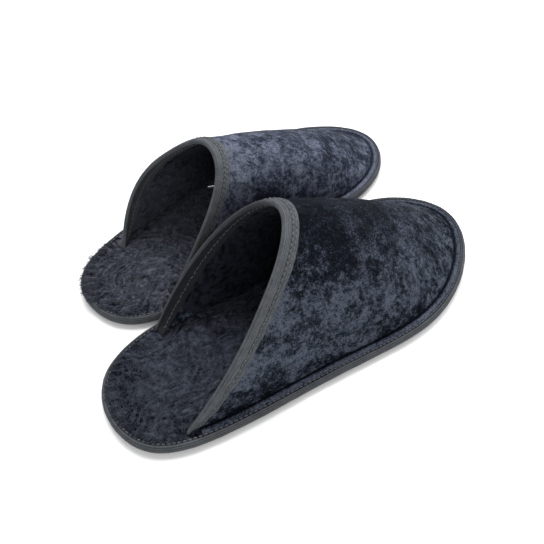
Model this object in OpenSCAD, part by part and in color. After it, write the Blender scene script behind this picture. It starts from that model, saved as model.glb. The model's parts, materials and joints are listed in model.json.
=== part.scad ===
// Pair of open-heel spa slippers: crushed-velvet mule uppers with a taped collar,
// fleece-lined foot bed, foam and board sole stack, and a tape-bound sole edge.
// +X points to the toes, +Y to the wearer's left, +Z up, floor at z = 0.
// The origin is on the floor at the centre of the pair's outline.
// Each slipper is drawn in its own last frame (heel end at x = 0, big-toe side at +y)
// and then placed; the left slipper is the mirror image of that frame.

/* [Sole outline] */
// Length of the last; the sole is about 2 % longer
sole_l = 280; // [250:1:300]
// Heel half-width on the big-toe side
heel_in = 44.5; // [40:0.5:45]
// Heel half-width on the little-toe side
heel_out = 47.5; // [44:0.5:49]
// Waist half-width on the big-toe side
waist_in = 38.5; // [36:0.5:41]
// Waist half-width on the little-toe side
waist_out = 52.5; // [50:0.5:54]
// Ball half-width on the big-toe side
ball_in = 58.5; // [56:0.5:60]
// Ball half-width on the little-toe side
ball_out = 64; // [62:0.5:66]
// Toe half-width on the big-toe side
toe_in = 47.5; // [44:0.5:49]
// Toe half-width on the little-toe side
toe_out = 50; // [48:0.5:52]

/* [Sole stack] */
// Outsole thickness
outsole_t = 2.2; // [2:0.1:4]
// Foam midsole thickness
midsole_t = 1.2; // [1:0.1:3]
// Insole board thickness
board_t = 0.8; // [0.8:0.1:1.5]
// Foot-bed backing thickness
sock_t = 0.5; // [0.5:0.1:1]
// Height of the fleece pile above its backing
pile_t = 3; // [2:0.1:3.2]
// Air gap between neighbouring layers
gap = 0.1; // [0.05:0.01:0.15]
// Depth of the tread grooves
tread_d = 0.7; // [0.4:0.1:0.9]
// Pitch of the tread grooves
tread_pitch = 10; // [8:1:14]

/* [Upper] */
// Velvet thickness
velvet_t = 1; // [0.8:0.1:1.2]
// Foam interlining thickness
inter_t = 1.2; // [1:0.1:1.6]
// Fleece lining thickness
lining_t = 0.9; // [0.8:0.1:1.2]
// Inset of the line where the upper rises from the sole
rise_in = 8; // [7.6:0.1:8.6]
// Steepness of the side walls where they leave the sole
side_swell = 0.36; // [0.25:0.01:0.45]
// Steepness of the toe where it leaves the sole
toe_swell = 0.4; // [0.3:0.01:0.45]
// Backward lean of the toe wall, in degrees from upright
toe_lean = 52; // [40:1:55]
// Pull of the vamp towards the throat
throat_pull = 0.82; // [0.7:0.01:0.9]
// Slope kept at the throat
throat_rise = 0.48; // [0.4:0.01:0.55]

/* [Right collar] */
// Forward position of the throat
r_throat_x = 128; // [122:1:132]
// Sideways position of the throat, towards the big-toe side
r_throat_y = 11; // [8:1:14]
// Height control of the throat
r_throat_z = 93; // [86:1:96]
// Forward position of the inner wing tip
r_tip_in_x = 50.5; // [46:0.5:54]
// Forward position of the outer wing tip
r_tip_out_x = 33; // [30:0.5:37]

/* [Left collar] */
// Forward position of the throat
l_throat_x = 106; // [102:1:112]
// Sideways position of the throat, towards the big-toe side
l_throat_y = -1; // [-4:1:2]
// Height control of the throat
l_throat_z = 86; // [80:1:90]
// Forward position of the inner wing tip
l_tip_in_x = 52; // [47:0.5:55]
// Forward position of the outer wing tip
l_tip_out_x = 45; // [40:0.5:47]

/* [Tapes and thread] */
// Thickness of the sole binding
tape_t = 0.8; // [0.7:0.1:1]
// Thickness of the collar tape
collar_t = 0.8; // [0.6:0.1:1]
// Width of the edge tape that lies on top of the sole
edge_lip = 2.4; // [2.2:0.1:3]
// Width of the edge tape under the outsole rim
edge_under = 8.2; // [7:0.1:8.4]
// Visible width of the collar tape on each face
collar_w = 7.5; // [6:0.5:9]
// Thread thickness
thread_t = 0.5; // [0.3:0.1:0.6]

/* [Pair] */
// Turn-out of each slipper, in degrees
turn_out = 5; // [0:0.5:6]
// How far the left slipper leads the right one
lead = 30; // [0:1:40]
// Distance between the two heel centres
spacing = 74.5; // [74.5:0.5:90]

/* [Flex] */
// Flex line, as a share of the sole length from the heel
flex_at = 0.66; // [0.62:0.01:0.7]
// Angle of the notch that lets the interlining fold
flex_notch = 32; // [31:1:36]

/* [Hidden] */

OUTSOLE_COLOR = [0.10, 0.10, 0.11];
MIDSOLE_COLOR = [0.86, 0.85, 0.82];
BOARD_COLOR = [0.62, 0.52, 0.40];
SOCK_COLOR = [0.20, 0.21, 0.25];
VELVET_COLOR = [0.19, 0.21, 0.26];
INTERLINING_COLOR = [0.55, 0.56, 0.60];
LINING_COLOR = [0.09, 0.10, 0.13];
COLLAR_TAPE_COLOR = [0.36, 0.38, 0.40];
COLLAR_THREAD_COLOR = [0.50, 0.52, 0.54];
EDGE_TAPE_COLOR = [0.25, 0.27, 0.30];
EDGE_THREAD_COLOR = [0.42, 0.44, 0.47];

length_scale = sole_l / 280;             // stretches the lengthwise places drawn at 280
flex_x = flex_at * sole_l;
layer_in = tape_t + 0.3;                 // inset of the sole layers behind the tape

// heights of the stack, from the floor up
z_mid0 = outsole_t + gap;
z_mid1 = z_mid0 + midsole_t;
z_board0 = z_mid1 + gap;
z_board1 = z_board0 + board_t;
z_sock0 = z_board1 + gap;
z_sock1 = z_sock0 + sock_t;              // top of the backing, where the upper is clamped
z_pile = z_sock1 + pile_t;               // top of the pile
z_flange = z_sock1 + gap + velvet_t;     // top of the velvet flange
z_tape0 = z_flange + gap;                // underside of the tape lip
z_tape1 = z_tape0 + tape_t;
z_flex = z_pile + 0.1;                   // flex line height
z_tip = z_tape1 + 0.6;                   // wing tips end just above the sole binding

ply_gap = 0.4;                           // room between the plies of the upper
inter_depth = velvet_t + ply_gap;        // faces of the inner plies below the velvet face
lining_depth = velvet_t + inter_t + 2 * ply_gap;
plies_t = lining_depth + lining_t;

// ---- sole outline: closed uniform cubic spline, clockwise from the heel seen from above ----
// control points: [forward, towards the big-toe side]
OUTLINE = [
    [-0.011 * sole_l, -1],
    [0.028 * sole_l, 0.73 * heel_in],
    [0.183 * sole_l, heel_in],
    [0.393 * sole_l, waist_in],
    [0.586 * sole_l, (waist_in + ball_in) / 2],
    [0.762 * sole_l, ball_in],
    [0.932 * sole_l, toe_in],
    [1.036 * sole_l, toe_in * 0.315],
    [1.002 * sole_l, -toe_out * 0.38],
    [0.858 * sole_l, -toe_out],
    [0.683 * sole_l, -ball_out],
    [0.458 * sole_l, -waist_out],
    [0.216 * sole_l, -heel_out],
    [0.032 * sole_l, -0.78 * heel_out]];
SPANS = len(OUTLINE);                    // the spline parameter runs from 0 to SPANS
function control(i) = OUTLINE[(i + 4 * SPANS) % SPANS];
function outline_at(u) = let (i = floor(u), t = u - i)
    ((1 - t) ^ 3 * control(i - 1) + (3 * t ^ 3 - 6 * t ^ 2 + 4) * control(i)
        + (-3 * t ^ 3 + 3 * t ^ 2 + 3 * t + 1) * control(i + 1) + t ^ 3 * control(i + 2)) / 6;
function outward_at(u) = let (
        before = outline_at(u - 0.01),
        after = outline_at(u + 0.01),
        along = (after - before) / norm(after - before))
    [-along.y, along.x];

RING_N = 98;                             // corners round the plates and the edge tape
RING_U = [for (i = [0:RING_N - 1]) i * SPANS / RING_N];
function ring(inset) = [for (u = RING_U) outline_at(u) - inset * outward_at(u)];

// fine samples and their distance round the outline
FINE_N = 280;
FINE = [for (i = [0:FINE_N]) outline_at(i * SPANS / FINE_N)];
TRAVEL = [for (i = 0, sum = 0; i <= FINE_N;
    sum = sum + (i < FINE_N ? norm(FINE[i + 1] - FINE[i]) : 0), i = i + 1) sum];
TRAVEL_TO_U = [for (i = [0:FINE_N]) [TRAVEL[i], i * SPANS / FINE_N]];
// first sample from lo to hi that is nearest to a point seen from above
function nearest_sample(point, lo, hi) = let (
        away = [for (i = [lo:hi]) norm(FINE[i] - [point.x, point.y])],
        least = min(away))
    [for (i = [lo:hi]) if (away[i - lo] == least) i][0];

// ---- collar edge: clamped cubic spline from the inner wing tip over the throat to the outer ----
// wing stations: [share of the way from tip to throat, sideways position, share of the way up]
R_WING_IN = [[0, 37, 0], [0.226, 41, 0.262], [0.535, 41, 0.578], [0.858, 32, 0.859]];
R_WING_OUT = [[0.832, -11, 0.895], [0.558, -24, 0.602], [0.263, -33, 0.262], [0, -34, 0]];
L_WING_IN = [[0, 27, 0], [0.167, 33, 0.311], [0.519, 35, 0.668], [0.87, 24, 0.936]];
L_WING_OUT = [[0.803, -21, 0.802], [0.492, -37.5, 0.579], [0.18, -35, 0.273], [0, -29, 0]];
function wing(stations, tip_x, throat) = [for (p = stations) [
    (tip_x + p[0] * (throat.x - tip_x)) * length_scale, p[1], z_tip + p[2] * (throat.z - z_tip)]];
function collar_points(wing_in, wing_out, tip_in_x, tip_out_x, throat) = concat(
    wing(wing_in, tip_in_x, throat),
    [[throat.x * length_scale, throat.y, throat.z]],
    wing(wing_out, tip_out_x, throat));
R_COLLAR = collar_points(R_WING_IN, R_WING_OUT, r_tip_in_x, r_tip_out_x,
    [r_throat_x, r_throat_y, r_throat_z]);
L_COLLAR = collar_points(L_WING_IN, L_WING_OUT, l_tip_in_x, l_tip_out_x,
    [l_throat_x, l_throat_y, l_throat_z]);
KNOTS = [0, 0, 0, 0, 1, 2, 3, 4, 5, 6, 6, 6, 6] / 6;
function de_boor(points, s, j, level) = level == 0 ? points[j] :
    let (a = (s - KNOTS[j]) / (KNOTS[j + 4 - level] - KNOTS[j]))
    (1 - a) * de_boor(points, s, j - 1, level - 1) + a * de_boor(points, s, j, level - 1);
function collar_at(points, s) = let (q = min(s, 0.999999))
    de_boor(points, q, 3 + floor(q * 6), 3);

// ---- upper surface: a Hermite sheet from the rise line to the collar ----
RIB_N = 45;
side_lean = 4;                           // outward lean of the side walls, in degrees
toe_s = 0.49;                            // where the toe shape peaks along the collar
toe_spread = 0.18;                       // and how widely it fades into the sides
// fields of a rib; OUTWARD is level, the pulls are the tangents at the two ends
FOOT = 0;
OUTWARD = 1;
EDGE = 2;
FOOT_PULL = 3;
EDGE_PULL = 4;
// margin is the share of the collar left out at each wing tip
function ribs(side, margin) = let (
        points = side == "left" ? L_COLLAR : R_COLLAR,
        start = TRAVEL[nearest_sample(points[0], 0, FINE_N / 2)],
        end = TRAVEL[nearest_sample(points[8], FINE_N / 2, FINE_N)])
    [for (i = [0:RIB_N - 1]) let (
            s = margin + (1 - 2 * margin) * i / (RIB_N - 1),
            u = lookup(start + (end - start) * s, TRAVEL_TO_U),
            out = outward_at(u),
            foot_xy = outline_at(u) - rise_in * out,
            foot = [foot_xy.x, foot_xy.y, z_flange],
            edge = collar_at(points, s),
            chord = edge - foot,
            toe = exp(-((s - toe_s) / toe_spread) ^ 2),
            lean = side_lean + (-toe_lean - side_lean) * toe,
            swell = side_swell + (toe_swell - side_swell) * toe,
            foot_pull = swell * norm(chord) * [sin(lean) * out.x, sin(lean) * out.y, cos(lean)],
            edge_pull = throat_pull * [chord.x, chord.y, throat_rise * chord.z])
        [foot, out, edge, foot_pull, edge_pull]];
// point on a rib: t = 0 at the foot, 1 at the collar
function rib_at(rib, t) = (2 * t ^ 3 - 3 * t ^ 2 + 1) * rib[FOOT]
    + (t ^ 3 - 2 * t ^ 2 + t) * rib[FOOT_PULL]
    + (-2 * t ^ 3 + 3 * t ^ 2) * rib[EDGE] + (t ^ 3 - t ^ 2) * rib[EDGE_PULL];
// t at about a distance from the foot
function t_foot(rib, distance) = min(0.45, distance / norm(rib[EDGE] - rib[FOOT]));
// t at about a distance from the collar: the rib's first two terms there give a quadratic,
// and its root is eased to stay within reach
function t_edge(rib, distance, reach = 0.75) = let (
        slope = norm(rib[EDGE_PULL]),
        bend = max(1, norm(3 * (rib[FOOT] - rib[EDGE]) + rib[FOOT_PULL] + 2 * rib[EDGE_PULL])),
        back = (sqrt(slope * slope + 4 * bend * distance) - slope) / (2 * bend))
    1 - back / (1 + (back / reach) ^ 4) ^ 0.25;

// grids are lists of rows, from the foot up, with one point for each rib
function unit(v) = v / max(1e-9, norm(v));
// outward normals of a grid, by central differences
function normals(grid) = let (last_row = len(grid) - 1, last = len(grid[0]) - 1)
    [for (j = [0:last_row]) [for (i = [0:last]) unit(cross(
        grid[j][min(last, i + 1)] - grid[j][max(0, i - 1)],
        grid[min(last_row, j + 1)][i] - grid[max(0, j - 1)][i]) * -1)]];
function shift(grid, normal, distance) = [for (j = [0:len(grid) - 1])
    [for (i = [0:len(grid[0]) - 1]) grid[j][i] + distance * normal[j][i]]];
// sheet between a distance from the foot and a distance from the edge
function sheet(rib_list, foot, edge, rows) = [for (j = [0:rows]) [for (rib = rib_list)
    let (a = t_foot(rib, foot), b = t_edge(rib, edge)) rib_at(rib, a + (b - a) * j / rows)]];

// ---- solids from grids ----
function quad(a, b, c, d) = [[a, b, c], [a, c, d]];
// two sheets joined round their rims
module sheet_solid(outer, inner) {
    rows = len(outer);
    stations = len(outer[0]);
    top = rows - 1;
    last = stations - 1;
    function v(k, j, i) = k * rows * stations + j * stations + i;
    polyhedron(points = [for (row = outer) each row, for (row = inner) each row], faces = [
        for (j = [0:top - 1]) for (i = [0:last - 1])
            each quad(v(0, j, i), v(0, j, i + 1), v(0, j + 1, i + 1), v(0, j + 1, i)),
        for (j = [0:top - 1]) for (i = [0:last - 1])
            each quad(v(1, j, i), v(1, j + 1, i), v(1, j + 1, i + 1), v(1, j, i + 1)),
        for (i = [0:last - 1]) each quad(v(0, 0, i), v(1, 0, i), v(1, 0, i + 1), v(0, 0, i + 1)),
        for (i = [0:last - 1])
            each quad(v(0, top, i), v(0, top, i + 1), v(1, top, i + 1), v(1, top, i)),
        for (j = [0:top - 1]) each quad(v(0, j, 0), v(0, j + 1, 0), v(1, j + 1, 0), v(1, j, 0)),
        for (j = [0:top - 1])
            each quad(v(0, j, last), v(1, j, last), v(1, j + 1, last), v(0, j + 1, last))]);
}
// sections [station][corner] swept into a bar; closed = true joins the last station to the first,
// otherwise caps lists the triangles that close an end
module sweep_solid(sections, closed = false, caps = [[0, 1, 2], [0, 2, 3]]) {
    count = len(sections);
    corners = len(sections[0]);
    function v(i, k) = (i % count) * corners + (k % corners);
    polyhedron(points = [for (section = sections) each section], faces = [
        for (i = [0:count - (closed ? 1 : 2)]) for (k = [0:corners - 1])
            each quad(v(i, k), v(i, k + 1), v(i + 1, k + 1), v(i + 1, k)),
        if (!closed) for (t = caps) [v(0, t[2]), v(0, t[1]), v(0, t[0])],
        if (!closed) for (t = caps) [v(count - 1, t[0]), v(count - 1, t[1]), v(count - 1, t[2])]]);
}

// ---- placing ----
// outlines of the turned slippers, measured from the right heel
R_PLACED = [for (p = FINE) [
    p.x * cos(turn_out) + p.y * sin(turn_out), -p.x * sin(turn_out) + p.y * cos(turn_out)]];
L_PLACED = [for (p = R_PLACED) [lead + p.x, spacing - p.y]];
function middle(values) = (min(values) + max(values)) / 2;
pair_x = middle([for (p = concat(R_PLACED, L_PLACED)) p.x]);
pair_y = middle([for (p = concat(R_PLACED, L_PLACED)) p.y]);
module put(side) {
    if (side == "right")
        translate([-pair_x, -pair_y, 0]) rotate([0, 0, -turn_out]) children();
    else
        translate([lead - pair_x, spacing - pair_y, 0])
            rotate([0, 0, turn_out]) mirror([0, 1, 0]) children();
}
// keeps the part of the children on one side of the flex line; end is "fore" or "heel"
sole_cut_h = 60;                         // cutting boxes taller than the sole and the upper
upper_cut_h = 140;
module half(end, height = sole_cut_h) {
    box_l = end == "fore" ? 200 : 300;
    intersection() {
        children();
        translate([end == "fore" ? flex_x + gap : flex_x - gap - box_l, -100, -1])
            cube([box_l, 200, height]);
    }
}

// ---- sole layers ----
module plate(inset, z0, z1)
    translate([0, 0, z0]) linear_extrude(height = z1 - z0) polygon(ring(inset));

groove_w = 2;
groove_x = 5;                            // centre of the groove nearest the heel
groove_flex_clear = 4;                   // grooves this close to the flex line are left out
rim_z = tape_t + 0.4;                    // underside of the outsole rim, above the tape
module tread_bars() for (i = [0:floor(sole_l / tread_pitch)])
    if (abs(i * tread_pitch + groove_x - flex_x) > groove_flex_clear)
        translate([i * tread_pitch + groove_x - groove_w / 2, -60, -1])
            cube([groove_w, 120, 1 + tread_d]);
module outsole_body() difference() {
    union() {
        plate(layer_in, rim_z, outsole_t);
        plate(edge_under + 1, 0, rim_z + 0.1);
    }
    intersection() {
        plate(edge_under + 7, -2, tread_d);
        tread_bars();
    }
}

pile_in = 13;                            // inset of the pile, heel to waist
pile_end = 150;
fore_pile_in = 20;                       // inset of the pile inside the upper
fore_pile_start = 140;
fore_pile_l = 104;
heel_step_end = 22;                      // low step that runs out to the heel rim
module lengthwise_box(x0, x1) translate([x0, -100, 0]) cube([x1 - x0, 200, 60]);
module sock_body() {
    pile_z0 = z_sock0 + 0.1;             // starts inside the backing
    plate(layer_in, z_sock0, z_sock1);
    intersection() {
        plate(pile_in, pile_z0, z_pile);
        lengthwise_box(0, pile_end * length_scale);
    }
    intersection() {
        plate(fore_pile_in, pile_z0, z_pile);
        lengthwise_box(fore_pile_start * length_scale,
            (fore_pile_start + fore_pile_l) * length_scale);
    }
    intersection() {
        plate(layer_in, pile_z0, z_flange - 0.05);
        lengthwise_box(-5, -5 + (5 + heel_step_end) * length_scale);
    }
}

module outsole(side, end) color(OUTSOLE_COLOR) put(side) half(end) outsole_body();
module midsole(side, end) color(MIDSOLE_COLOR) put(side) half(end)
    plate(layer_in, z_mid0, z_mid1);
module insole_board(side, end) color(BOARD_COLOR) put(side) half(end)
    plate(layer_in + 0.7, z_board0, z_board1);
module fleece_sock(side, end) color(SOCK_COLOR) put(side) half(end) sock_body();

// ---- upper layers ----
// a row on the sole, moved outward from the rib feet
function flange_row(rib_list, outward) = [for (rib = rib_list)
    rib[FOOT] + outward * [rib[OUTWARD].x, rib[OUTWARD].y, 0]];
// the velvet has rows on the lines where the collar tape begins and is halved;
// the rows below them crowd towards the foot
function velvet_grid(rib_list, edge = 0.9, rows = 8) = concat(
    [flange_row(rib_list, rise_in - layer_in - 0.5), flange_row(rib_list, 1.6)],
    [for (j = [0:rows])
        [for (rib = rib_list) rib_at(rib, t_edge(rib, collar_w) * (j / rows) ^ 1.35)]],
    [for (distance = [collar_w * 0.5, edge])
        [for (rib = rib_list) rib_at(rib, t_edge(rib, distance))]]);
module velvet_upper(side) {
    grid = velvet_grid(ribs(side, margin = 0.012));
    color(VELVET_COLOR) put(side) sheet_solid(grid, shift(grid, normals(grid), -velvet_t));
}
// depth is from the velvet face, foot is the distance from the rise line
module inner_layer(side, depth, thickness, foot) {
    grid = sheet(ribs(side, margin = 0.05), foot, edge = 1.2, rows = 8);
    normal = normals(grid);
    sheet_solid(shift(grid, normal, -depth), shift(grid, normal, -depth - thickness));
}
module interlining_half(side, end) half(end, upper_cut_h)
    inner_layer(side, inter_depth, inter_t, foot = 10);
// resize to [0, 0, 0] leaves every size as it is
module interlining_fore(side) color(INTERLINING_COLOR) put(side) resize([0, 0, 0])
    interlining_half(side, "fore");
// the notch face leans back towards the heel above the flex line
module interlining_heel(side) color(INTERLINING_COLOR) put(side) resize([0, 0, 0]) difference() {
    interlining_half(side, "heel");
    translate([flex_x - gap, 0, z_flex]) rotate([0, -flex_notch, 0])
        translate([0, -100, -60]) cube([120, 200, 260]);
}
module fleece_lining(side) color(LINING_COLOR) put(side)
    inner_layer(side, lining_depth, lining_t, foot = 13);

// ---- collar tape: a U-section folded over the collar edge ----
// profiles are [distance back from the collar edge, height above the velvet face]
function normal_at(normal, rib, i, back) = let (
        top = len(normal) - 1,
        j = back <= 0 ? top : max(0, top * t_edge(rib, back)),
        a = floor(j),
        b = min(top, a + 1))
    unit((1 - (j - a)) * normal[a][i] + (j - a) * normal[b][i]);
// beyond is the direction that leaves the sheet across its edge
function sheet_point(rib, normal, beyond, back, height) =
    (back >= 0 ? rib_at(rib, t_edge(rib, back)) : rib[EDGE] - back * beyond) + height * normal;
function collar_sections(side, profile) = let (
        rib_list = ribs(side, margin = 0.03),
        grid = sheet(rib_list, foot = 0, edge = 0, rows = 24),
        normal = normals(grid),
        last = len(rib_list) - 1,
        top = len(grid) - 1)
    [for (i = [0:last]) let (
            rib = rib_list[i],
            along = unit(grid[top][min(last, i + 1)] - grid[top][max(0, i - 1)]),
            across = unit(cross(along, normal[top][i])),
            sign = across * (grid[top][i] - grid[top - 1][i]) > 0 ? 1 : -1)
        [for (p = profile)
            sheet_point(rib, normal_at(normal, rib, i, p[0]), across * sign, p[0], p[1])]];

collar_clear = 0.55;                     // room between the collar tape and the plies
fold = collar_clear + collar_t;          // reach of the fold past the edge and over the velvet
fold_corner = collar_clear + 0.6;        // the fold's outer corners are cut back to here
half_w = collar_w * 0.5;
COLLAR_PROFILE = [
    [collar_w, collar_clear],
    [half_w, collar_clear],
    [-collar_clear, collar_clear],
    [-collar_clear, -plies_t - collar_clear],
    [half_w, -plies_t - collar_clear],
    [collar_w, -plies_t - collar_clear],
    [collar_w, -plies_t - fold],
    [half_w, -plies_t - fold],
    [-fold_corner, -plies_t - fold],
    [-fold, -plies_t],
    [-fold, -0.3],
    [-fold_corner, fold],
    [half_w, fold],
    [collar_w, fold]];
// triangles that fill the profile
COLLAR_CAPS = [[0, 1, 12], [0, 12, 13], [1, 2, 11], [1, 11, 12], [2, 10, 11], [2, 3, 9],
    [2, 9, 10], [3, 8, 9], [3, 4, 7], [3, 7, 8], [4, 5, 6], [4, 6, 7]];
module collar_tape(side) color(COLLAR_TAPE_COLOR) put(side)
    sweep_solid(collar_sections(side, COLLAR_PROFILE), caps = COLLAR_CAPS);

// two rows of stitching, at shares of the tape width from the collar edge
module collar_thread(side) color(COLLAR_THREAD_COLOR) put(side) for (share = [0.85, 0.35]) {
    back = collar_w * share;
    height = fold + 0.4;
    sweep_solid(collar_sections(side, [
        [back, height],
        [back - thread_t, height],
        [back - thread_t, height + thread_t],
        [back, height + thread_t]]));
}

// ---- edge tape and its stitching ----
// profiles are [inset from the outline, height above the floor]
function edge_sections(profile) = [for (u = RING_U) let (p = outline_at(u), out = outward_at(u))
    [for (q = profile) [p.x - q[0] * out.x, p.y - q[0] * out.y, q[1]]]];
tape_z = 0.25;                           // underside of the tape
tape_inner = tape_t + 0.1;               // inset of its inner wall
EDGE_PROFILE = [
    [edge_lip, z_tape0],
    [edge_lip, z_tape1],
    [1.6, z_tape1],
    [0.5, z_tape1 - 0.6],
    [0, z_tape1 - 2],
    [0, 2],
    [0.5, 0.8],
    [1.8, tape_z],
    [edge_under, tape_z],
    [edge_under, tape_z + tape_t],
    [tape_inner, tape_z + tape_t],
    [tape_inner, z_tape0]];
module edge_tape(side) color(EDGE_TAPE_COLOR) put(side)
    sweep_solid(edge_sections(EDGE_PROFILE), closed = true);

edge_thread_in = edge_lip + 0.6;         // just inside the tape lip
module edge_thread(side) color(EDGE_THREAD_COLOR) put(side) sweep_solid(edge_sections([
    [edge_thread_in, z_tape0],
    [edge_thread_in + thread_t, z_tape0],
    [edge_thread_in + thread_t, z_tape0 + thread_t],
    [edge_thread_in, z_tape0 + thread_t]]), closed = true);

// ---- nodes ----
module left_outsole_fore() outsole("left", "fore");
module left_outsole_heel() outsole("left", "heel");
module left_midsole_fore() midsole("left", "fore");
module left_midsole_heel() midsole("left", "heel");
module left_insole_board_fore() insole_board("left", "fore");
module left_insole_board_heel() insole_board("left", "heel");
module left_fleece_sock_fore() fleece_sock("left", "fore");
module left_fleece_sock_heel() fleece_sock("left", "heel");
module left_velvet_upper() velvet_upper("left");
module left_interlining_fore() interlining_fore("left");
module left_interlining_heel() interlining_heel("left");
module left_fleece_lining() fleece_lining("left");
module left_collar_tape() collar_tape("left");
module left_collar_thread() collar_thread("left");
module left_edge_tape() edge_tape("left");
module left_edge_thread() edge_thread("left");
module right_outsole_fore() outsole("right", "fore");
module right_outsole_heel() outsole("right", "heel");
module right_midsole_fore() midsole("right", "fore");
module right_midsole_heel() midsole("right", "heel");
module right_insole_board_fore() insole_board("right", "fore");
module right_insole_board_heel() insole_board("right", "heel");
module right_fleece_sock_fore() fleece_sock("right", "fore");
module right_fleece_sock_heel() fleece_sock("right", "heel");
module right_velvet_upper() velvet_upper("right");
module right_interlining_fore() interlining_fore("right");
module right_interlining_heel() interlining_heel("right");
module right_fleece_lining() fleece_lining("right");
module right_collar_tape() collar_tape("right");
module right_collar_thread() collar_thread("right");
module right_edge_tape() edge_tape("right");
module right_edge_thread() edge_thread("right");

left_outsole_fore();
left_outsole_heel();
left_midsole_fore();
left_midsole_heel();
left_insole_board_fore();
left_insole_board_heel();
left_fleece_sock_fore();
left_fleece_sock_heel();
left_velvet_upper();
left_interlining_fore();
left_interlining_heel();
left_fleece_lining();
left_collar_tape();
left_collar_thread();
left_edge_tape();
left_edge_thread();
right_outsole_fore();
right_outsole_heel();
right_midsole_fore();
right_midsole_heel();
right_insole_board_fore();
right_insole_board_heel();
right_fleece_sock_fore();
right_fleece_sock_heel();
right_velvet_upper();
right_interlining_fore();
right_interlining_heel();
right_fleece_lining();
right_collar_tape();
right_collar_thread();
right_edge_tape();
right_edge_thread();
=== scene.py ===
"""A pair of crushed-velvet slippers with fleece foot beds, lying sole down on a white floor.

Each slipper is drawn in millimetres in its own frame: heel end at x = 0, toe towards +x,
big-toe side at +y, z up. Place turns it (and mirrors the left one) into the row frame, in
metres. The upper is a sheet of ribs. Share s runs along the collar from the big-toe-side tip
over the throat to the other tip; share t runs up each rib from the sole to the collar.
"""

import json
import math
from types import SimpleNamespace

import bmesh
import bpy
import numpy as np
from mathutils import Matrix, Vector


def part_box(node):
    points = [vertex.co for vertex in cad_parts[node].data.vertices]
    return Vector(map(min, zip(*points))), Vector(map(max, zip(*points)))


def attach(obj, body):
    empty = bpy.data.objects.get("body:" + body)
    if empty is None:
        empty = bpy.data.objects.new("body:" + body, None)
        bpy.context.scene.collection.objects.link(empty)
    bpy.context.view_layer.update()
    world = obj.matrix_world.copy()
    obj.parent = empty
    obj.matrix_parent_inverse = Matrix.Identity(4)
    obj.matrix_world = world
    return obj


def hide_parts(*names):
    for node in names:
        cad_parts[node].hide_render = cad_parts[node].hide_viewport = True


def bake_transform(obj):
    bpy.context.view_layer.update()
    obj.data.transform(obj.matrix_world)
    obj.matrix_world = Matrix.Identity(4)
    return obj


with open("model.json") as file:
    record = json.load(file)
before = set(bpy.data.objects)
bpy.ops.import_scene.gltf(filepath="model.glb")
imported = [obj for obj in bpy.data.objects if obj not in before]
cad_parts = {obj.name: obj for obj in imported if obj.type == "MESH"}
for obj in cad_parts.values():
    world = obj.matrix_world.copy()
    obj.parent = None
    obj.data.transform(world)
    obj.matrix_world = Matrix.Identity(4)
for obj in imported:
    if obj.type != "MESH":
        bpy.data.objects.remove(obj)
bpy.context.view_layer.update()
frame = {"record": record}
JOINTS = {joint["name"]: joint for joint in frame["record"]["behaviour"]["joints"]}

# ---------------------------------------------------------------- dimensions, mm
SOLE_LENGTH = 280.0
HEEL_IN, WAIST_IN, BALL_IN, TOE_IN = 44.5, 38.5, 58.5, 47.5    # widths on the big-toe side
HEEL_OUT, WAIST_OUT, BALL_OUT, TOE_OUT = 47.5, 52.5, 64, 50    # and on the other side
# control points of the closed sole outline: share of the length, y
OUTLINE_CONTROL = np.array([
    [-0.011, -1], [0.028, 0.73 * HEEL_IN], [0.183, HEEL_IN], [0.393, WAIST_IN],
    [0.586, (WAIST_IN + BALL_IN) / 2], [0.762, BALL_IN], [0.932, TOE_IN],
    [1.036, TOE_IN * 0.315], [1.002, -TOE_OUT * 0.38], [0.858, -TOE_OUT], [0.683, -BALL_OUT],
    [0.458, -WAIST_OUT], [0.216, -HEEL_OUT], [0.032, -0.78 * HEEL_OUT]]) * [SOLE_LENGTH, 1]
OUTLINE_STEPS = 2800

TIP_Z = 7.6            # height of the collar tips
# throat: x, y, z. Wings: share of the way from tip to throat in x, y in mm, same share in z.
COLLAR_DESIGN = {
    "right": dict(
        throat=[128, 11, 93], in_tip_x=50.5, out_tip_x=33,
        in_wing=[[0, 37.0, 0], [0.226, 41, 0.262], [0.535, 41, 0.578], [0.858, 32, 0.859]],
        out_wing=[[0.832, -11, 0.895], [0.558, -24, 0.602], [0.263, -33, 0.262], [0, -34, 0]]),
    "left": dict(
        throat=[106, -1, 86], in_tip_x=52, out_tip_x=45,
        in_wing=[[0, 27, 0], [0.167, 33, 0.311], [0.519, 35, 0.668], [0.87, 24, 0.936]],
        out_wing=[[0.803, -21, 0.802], [0.492, -37.5, 0.579], [0.18, -35, 0.273], [0, -29, 0]]),
}

FOOT_INSET = 8.0       # the ribs rise this far inside the sole edge
FLANGE_Z = 6.1         # and start at this height
DROP = 10.3 - FLANGE_Z     # the edge profile is drawn this much taller than the sole
SIDE_SWELL, TOE_SWELL = 0.36, 0.40    # rib end tangent at the foot, as a share of rib length
SIDE_LEAN, TOE_LEAN = math.radians(4), math.radians(52)    # outwards at sides, inwards at toe
PULL, RISE = 0.82, 0.48    # rib end tangent at the collar: strength, and share of its z kept

VELVET_T, FOAM_T, LINING_T, PLY_GAP = 1.0, 1.2, 0.9, 0.4
STACK = VELVET_T + FOAM_T + LINING_T + 2 * PLY_GAP
NIP = 0.42             # share of their loose thickness the plies keep under the collar tape
NIPPED = STACK * NIP
TAPE_GAP, TAPE_T, TAPE_WIDTH = 0.15, 0.5, 8.6
TAPE_TOP = TAPE_GAP + TAPE_T
STITCH_PITCH = 3.0
ROW_HIGH, ROW_LOW = 4.3, 6.3    # stitch rows, distance below the collar edge
COLLAR_RIB, BINDING_RIB, WEFT = 0.95, 1.3, 0.9    # weave pitches of the tapes
FLEX_BACK, FLEX_FRONT = 0.047, 0.010    # the sole bends from behind to ahead of its joint, m

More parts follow.
